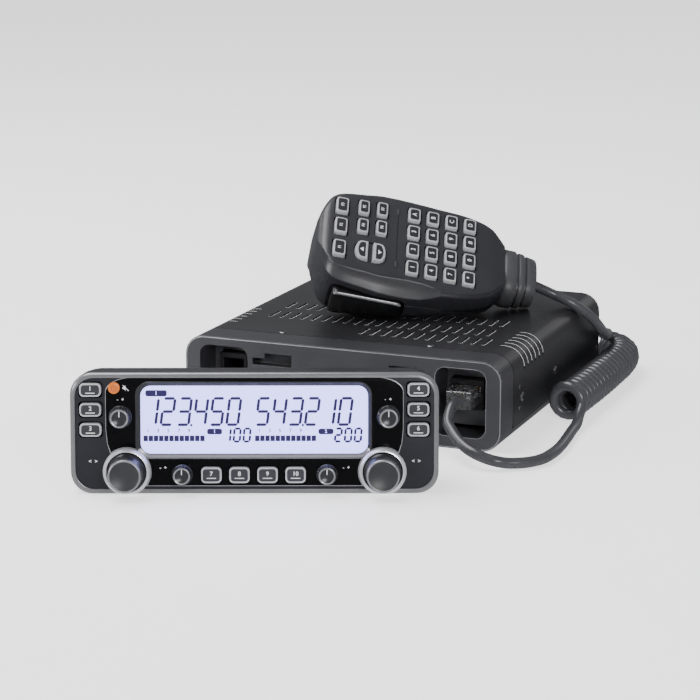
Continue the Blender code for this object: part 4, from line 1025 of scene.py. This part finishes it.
def make_mic_shells():
    bm = bmesh.new()
    shell_loft(bm, front_section)
    bmesh.ops.recalc_face_normals(bm, faces=bm.faces)
    # The near slanted facet is painted lighter than the rest of the shell: a painted highlight.
    for face in bm.faces:
        if 7 < face.calc_center_median().x < 60 and face.normal.y < -0.5 and face.normal.z > 0.35:
            face.material_index = 1
    front = finish("mic_front_look", bm, [MIC_SHELL, MIC_FACET_LIT], "hand_microphone", MIC,
                   replaces=("mic_front_shell",), angle=28)
    holes = bmesh.new()
    for column in range(4):
        for row in range(4):
            face_plate(holes, *number_key_place(row, column), 7.0, 9.8, 1.2, KEY_POCKET_Z, ABOVE_FACE)
    for x, y, w, h in FUNCTION_KEYS:
        face_plate(holes, x, y, w + 0.8, h + 0.8, 1.1, KEY_POCKET_Z, ABOVE_FACE)
    face_plate(holes, 26.1, ARROW_KEYS_Y, 16.0, 13.2, 5.9, 31.9, ABOVE_FACE)
    for y in INDICATORS_Y:
        face_plate(holes, INDICATOR_X, y, 1.5, 4.6, 0.7, 31.6, ABOVE_FACE)
    face_plate(holes, INDICATOR_X, 1.0, 0.45, 29.0, 0.2, 32.1, ABOVE_FACE)
    cut(front, holes, MIC)

    bm = bmesh.new()
    shell_loft(bm, rear_section)
    rear = finish("mic_rear_look", bm, [MIC_SHELL], "hand_microphone", MIC,
                  replaces=("mic_rear_shell",), angle=50)
    for shell in (front, rear):
        pocket = bmesh.new()
        outline = talk_outline(1.3)
        loft(pocket, [at_depth(outline, -40), at_depth(outline, -26.0)])
        cut(shell, pocket, MIC)

    bm = bmesh.new()
    for y in INDICATORS_Y:
        face_plate(bm, INDICATOR_X, y, 1.3, 4.4, 0.6, 31.5, 32.75)
    finish("mic_indicators", bm, [KEY_FACE], "hand_microphone", MIC)


def talk_outline(grow=0.0):
    """Side view of the talk bar in the microphone's x and z, with rounded corners."""
    start, end, top = TALK_START - grow, TALK_END + grow, TALK_TOP + grow
    corners = [Vector(c) for c in ((start, 8.2 - grow), (end, 13.4 - grow), (end, top), (start, top))]
    points = []
    radius = 3.2 + grow
    for i, corner in enumerate(corners):
        to_last = (corners[i - 1] - corner).normalized()
        to_next = (corners[(i + 1) % 4] - corner).normalized()
        for k in range(7):
            t = k / 6
            a, b = corner + to_last * radius, corner + to_next * radius
            points.append(tuple(a * (1 - t) ** 2 + corner * 2 * t * (1 - t) + b * t ** 2))
    return points


def make_talk_bar():
    """A rounded bar that bulges out of the near side."""
    bm = bmesh.new()
    outline = talk_outline()
    rings = [at_depth(outline, -27.6), at_depth(outline, -30.6)]
    for i in range(1, 6):
        turn = math.radians(90 * i / 5)
        rings.append(at_depth(inset(outline, 1.5 * (1 - math.cos(turn))), -30.6 - 1.3 * math.sin(turn)))
    middle = Vector((28.0, 17.0))
    edge = [Vector(p) for p in inset(outline, 1.5)]
    for share, depth in ((0.7, -32.05), (0.35, -32.15)):
        rings.append(at_depth([middle.lerp(point, share) for point in edge], depth))
    loft(bm, rings)
    bmesh.ops.recalc_face_normals(bm, faces=bm.faces)
    # Faces along the top front edge take a pale look: a painted highlight.
    for face in bm.faces:
        if face.normal.z > 0.3 and face.normal.y < -0.2:
            face.material_index = 1
    finish("talk_bar_look", bm, [TALK, TALK_BAR_HIGHLIGHT], "talk_bar_body", MIC, replaces=("talk_bar",), angle=60)


def make_key(bm, x, y, width, height, text, tall):
    """A slant-sided pale key with a dark label on top."""
    top = MIC_FACE_Z + 1.35
    face_plate(bm, x, y, width, height, 1.5, 30.6, top, 0, 0.35)
    label = rounded_rectangle(x, y + 0.1, width - 2.1, height - 2.5, 0.9, 3)
    loft(bm, [[(a, b, top - 0.1) for a, b in label], [(a, b, top + 0.02) for a, b in label]], 1)
    lettering(bm, text, tall, on_mic(x, y + 0.15, top + 0.03), 2, 0.03)


MIC_KEY_LOOKS = [MIC_KEY, MIC_KEY_FACE, PRINT]


def make_mic_keys():
    bm = bmesh.new()
    for row, texts in enumerate(NUMBER_ROWS):
        for column, text in enumerate(texts):
            make_key(bm, *number_key_place(row, column), 6.3, 9.1, text, 2.2)
    finish("number_keys", bm, MIC_KEY_LOOKS, "number_key_mat_body", MIC,
           replaces=("number_key_mat",), merge=False)
    bm = bmesh.new()
    for number, (x, y, w, h) in enumerate(FUNCTION_KEYS, 1):
        make_key(bm, x, y, w, h, f"F{number}", 1.5)
    finish("function_keys", bm, MIC_KEY_LOOKS, "function_key_mat_body", MIC,
           replaces=("function_key_mat",), merge=False)
    for name, x, lean in (("up_key", 22.0, -1), ("down_key", 30.2, 1)):
        bm = bmesh.new()
        side = []
        for a, b in arc(0, 0, 1, -90, 90, 12):
            side.append((x + lean * (0.3 + 3.0 * a), ARROW_KEYS_Y + 6.0 * b))
        flat = [(x - lean * 3.1, ARROW_KEYS_Y + across) for across in (6.0, -6.0)]
        outline = side + flat if lean > 0 else (side + flat)[::-1]
        top = MIC_FACE_Z + 1.3
        rings = [[(a, b, 31.6) for a, b in outline], [(a, b, top - 0.25) for a, b in inset(outline, 0.35)],
                 [(a, b, top) for a, b in inset(outline, 0.6)]]
        loft(bm, rings, 0)
        label = inset(outline, 1.45)
        loft(bm, [[(a, b, top - 0.1) for a, b in label], [(a, b, top + 0.02) for a, b in label]], 1)
        tip = -1 if name == "up_key" else 1
        triangle = [(x + tip * along, ARROW_KEYS_Y + across)
                    for along, across in ((1.0, 0.0), (-0.6, 1.4), (-0.6, -1.4))]
        bm.faces.new([bm.verts.new((a, b, top + 0.05)) for a, b in triangle]).material_index = 2
        finish(name + "_cap", bm, MIC_KEY_LOOKS, name + "_body", MIC, replaces=(name,),
               merge=False)


def make_boot():
    """Three stepped oval rings with grooves between them, drawing in to the cord."""
    steps = ((89.8, 14.2, 9.4), (91.6, 14.7, 10.0), (92.2, 15.0, 10.2), (96.6, 14.9, 10.1),
             (97.1, 14.5, 9.8), (97.2, 13.2, 8.9), (98.0, 13.2, 8.9), (98.2, 14.0, 9.6),
             (98.7, 14.2, 9.8), (100.7, 13.9, 9.6), (101.1, 13.5, 9.3), (101.2, 12.4, 8.3),
             (101.9, 12.4, 8.3), (102.1, 13.0, 9.0), (102.6, 13.2, 9.1), (106.2, 12.2, 8.7),
             (106.7, 11.8, 8.4), (106.9, 11.2, 7.9), (106.9, 4.0, 4.0), (106.0, 3.0, 3.0))
    rings = []
    for x, across, thick in steps:
        ring = []
        for c, s in arc(0, 0, 1, 0, 350, 35):
            square_c = math.copysign(abs(c) ** 0.8, c)
            square_s = math.copysign(abs(s) ** 0.8, s)
            ring.append((x, across * square_c, 20.8 + thick * square_s))
        rings.append(ring)
    bm = bmesh.new()
    loft(bm, rings)
    finish("cord_boot_look", bm, [BOOT], "hand_microphone", MIC, replaces=("cord_boot",), angle=40)
    refined("hanger_button", METAL, 0.2)


# ---------------------------------------------------------------- what stays plain inside

def finish_plain_nodes():
    """Give the CAD nodes that are still shown a procedural material."""
    looks = {"main_board": BOARD, "head_board": BOARD, "mic_board": BOARD, "shield_can": METAL,
             "power_module": NYLON, "speaker": NYLON, "mic_capsule": METAL,
             "dial_encoder_left": METAL, "dial_encoder_right": METAL}
    for node, look in looks.items():
        mesh = frame["nodes"][node].data
        mesh.materials.clear()
        mesh.materials.append(look)


make_camera()
make_cord()
make_studio()
make_main_unit()
make_head_case()
make_gloss_panel()
make_collars()
make_display()
make_head_keys()
make_knobs()
make_head_print()
make_mic_shells()
make_talk_bar()
make_mic_keys()
make_boot()
finish_plain_nodes()
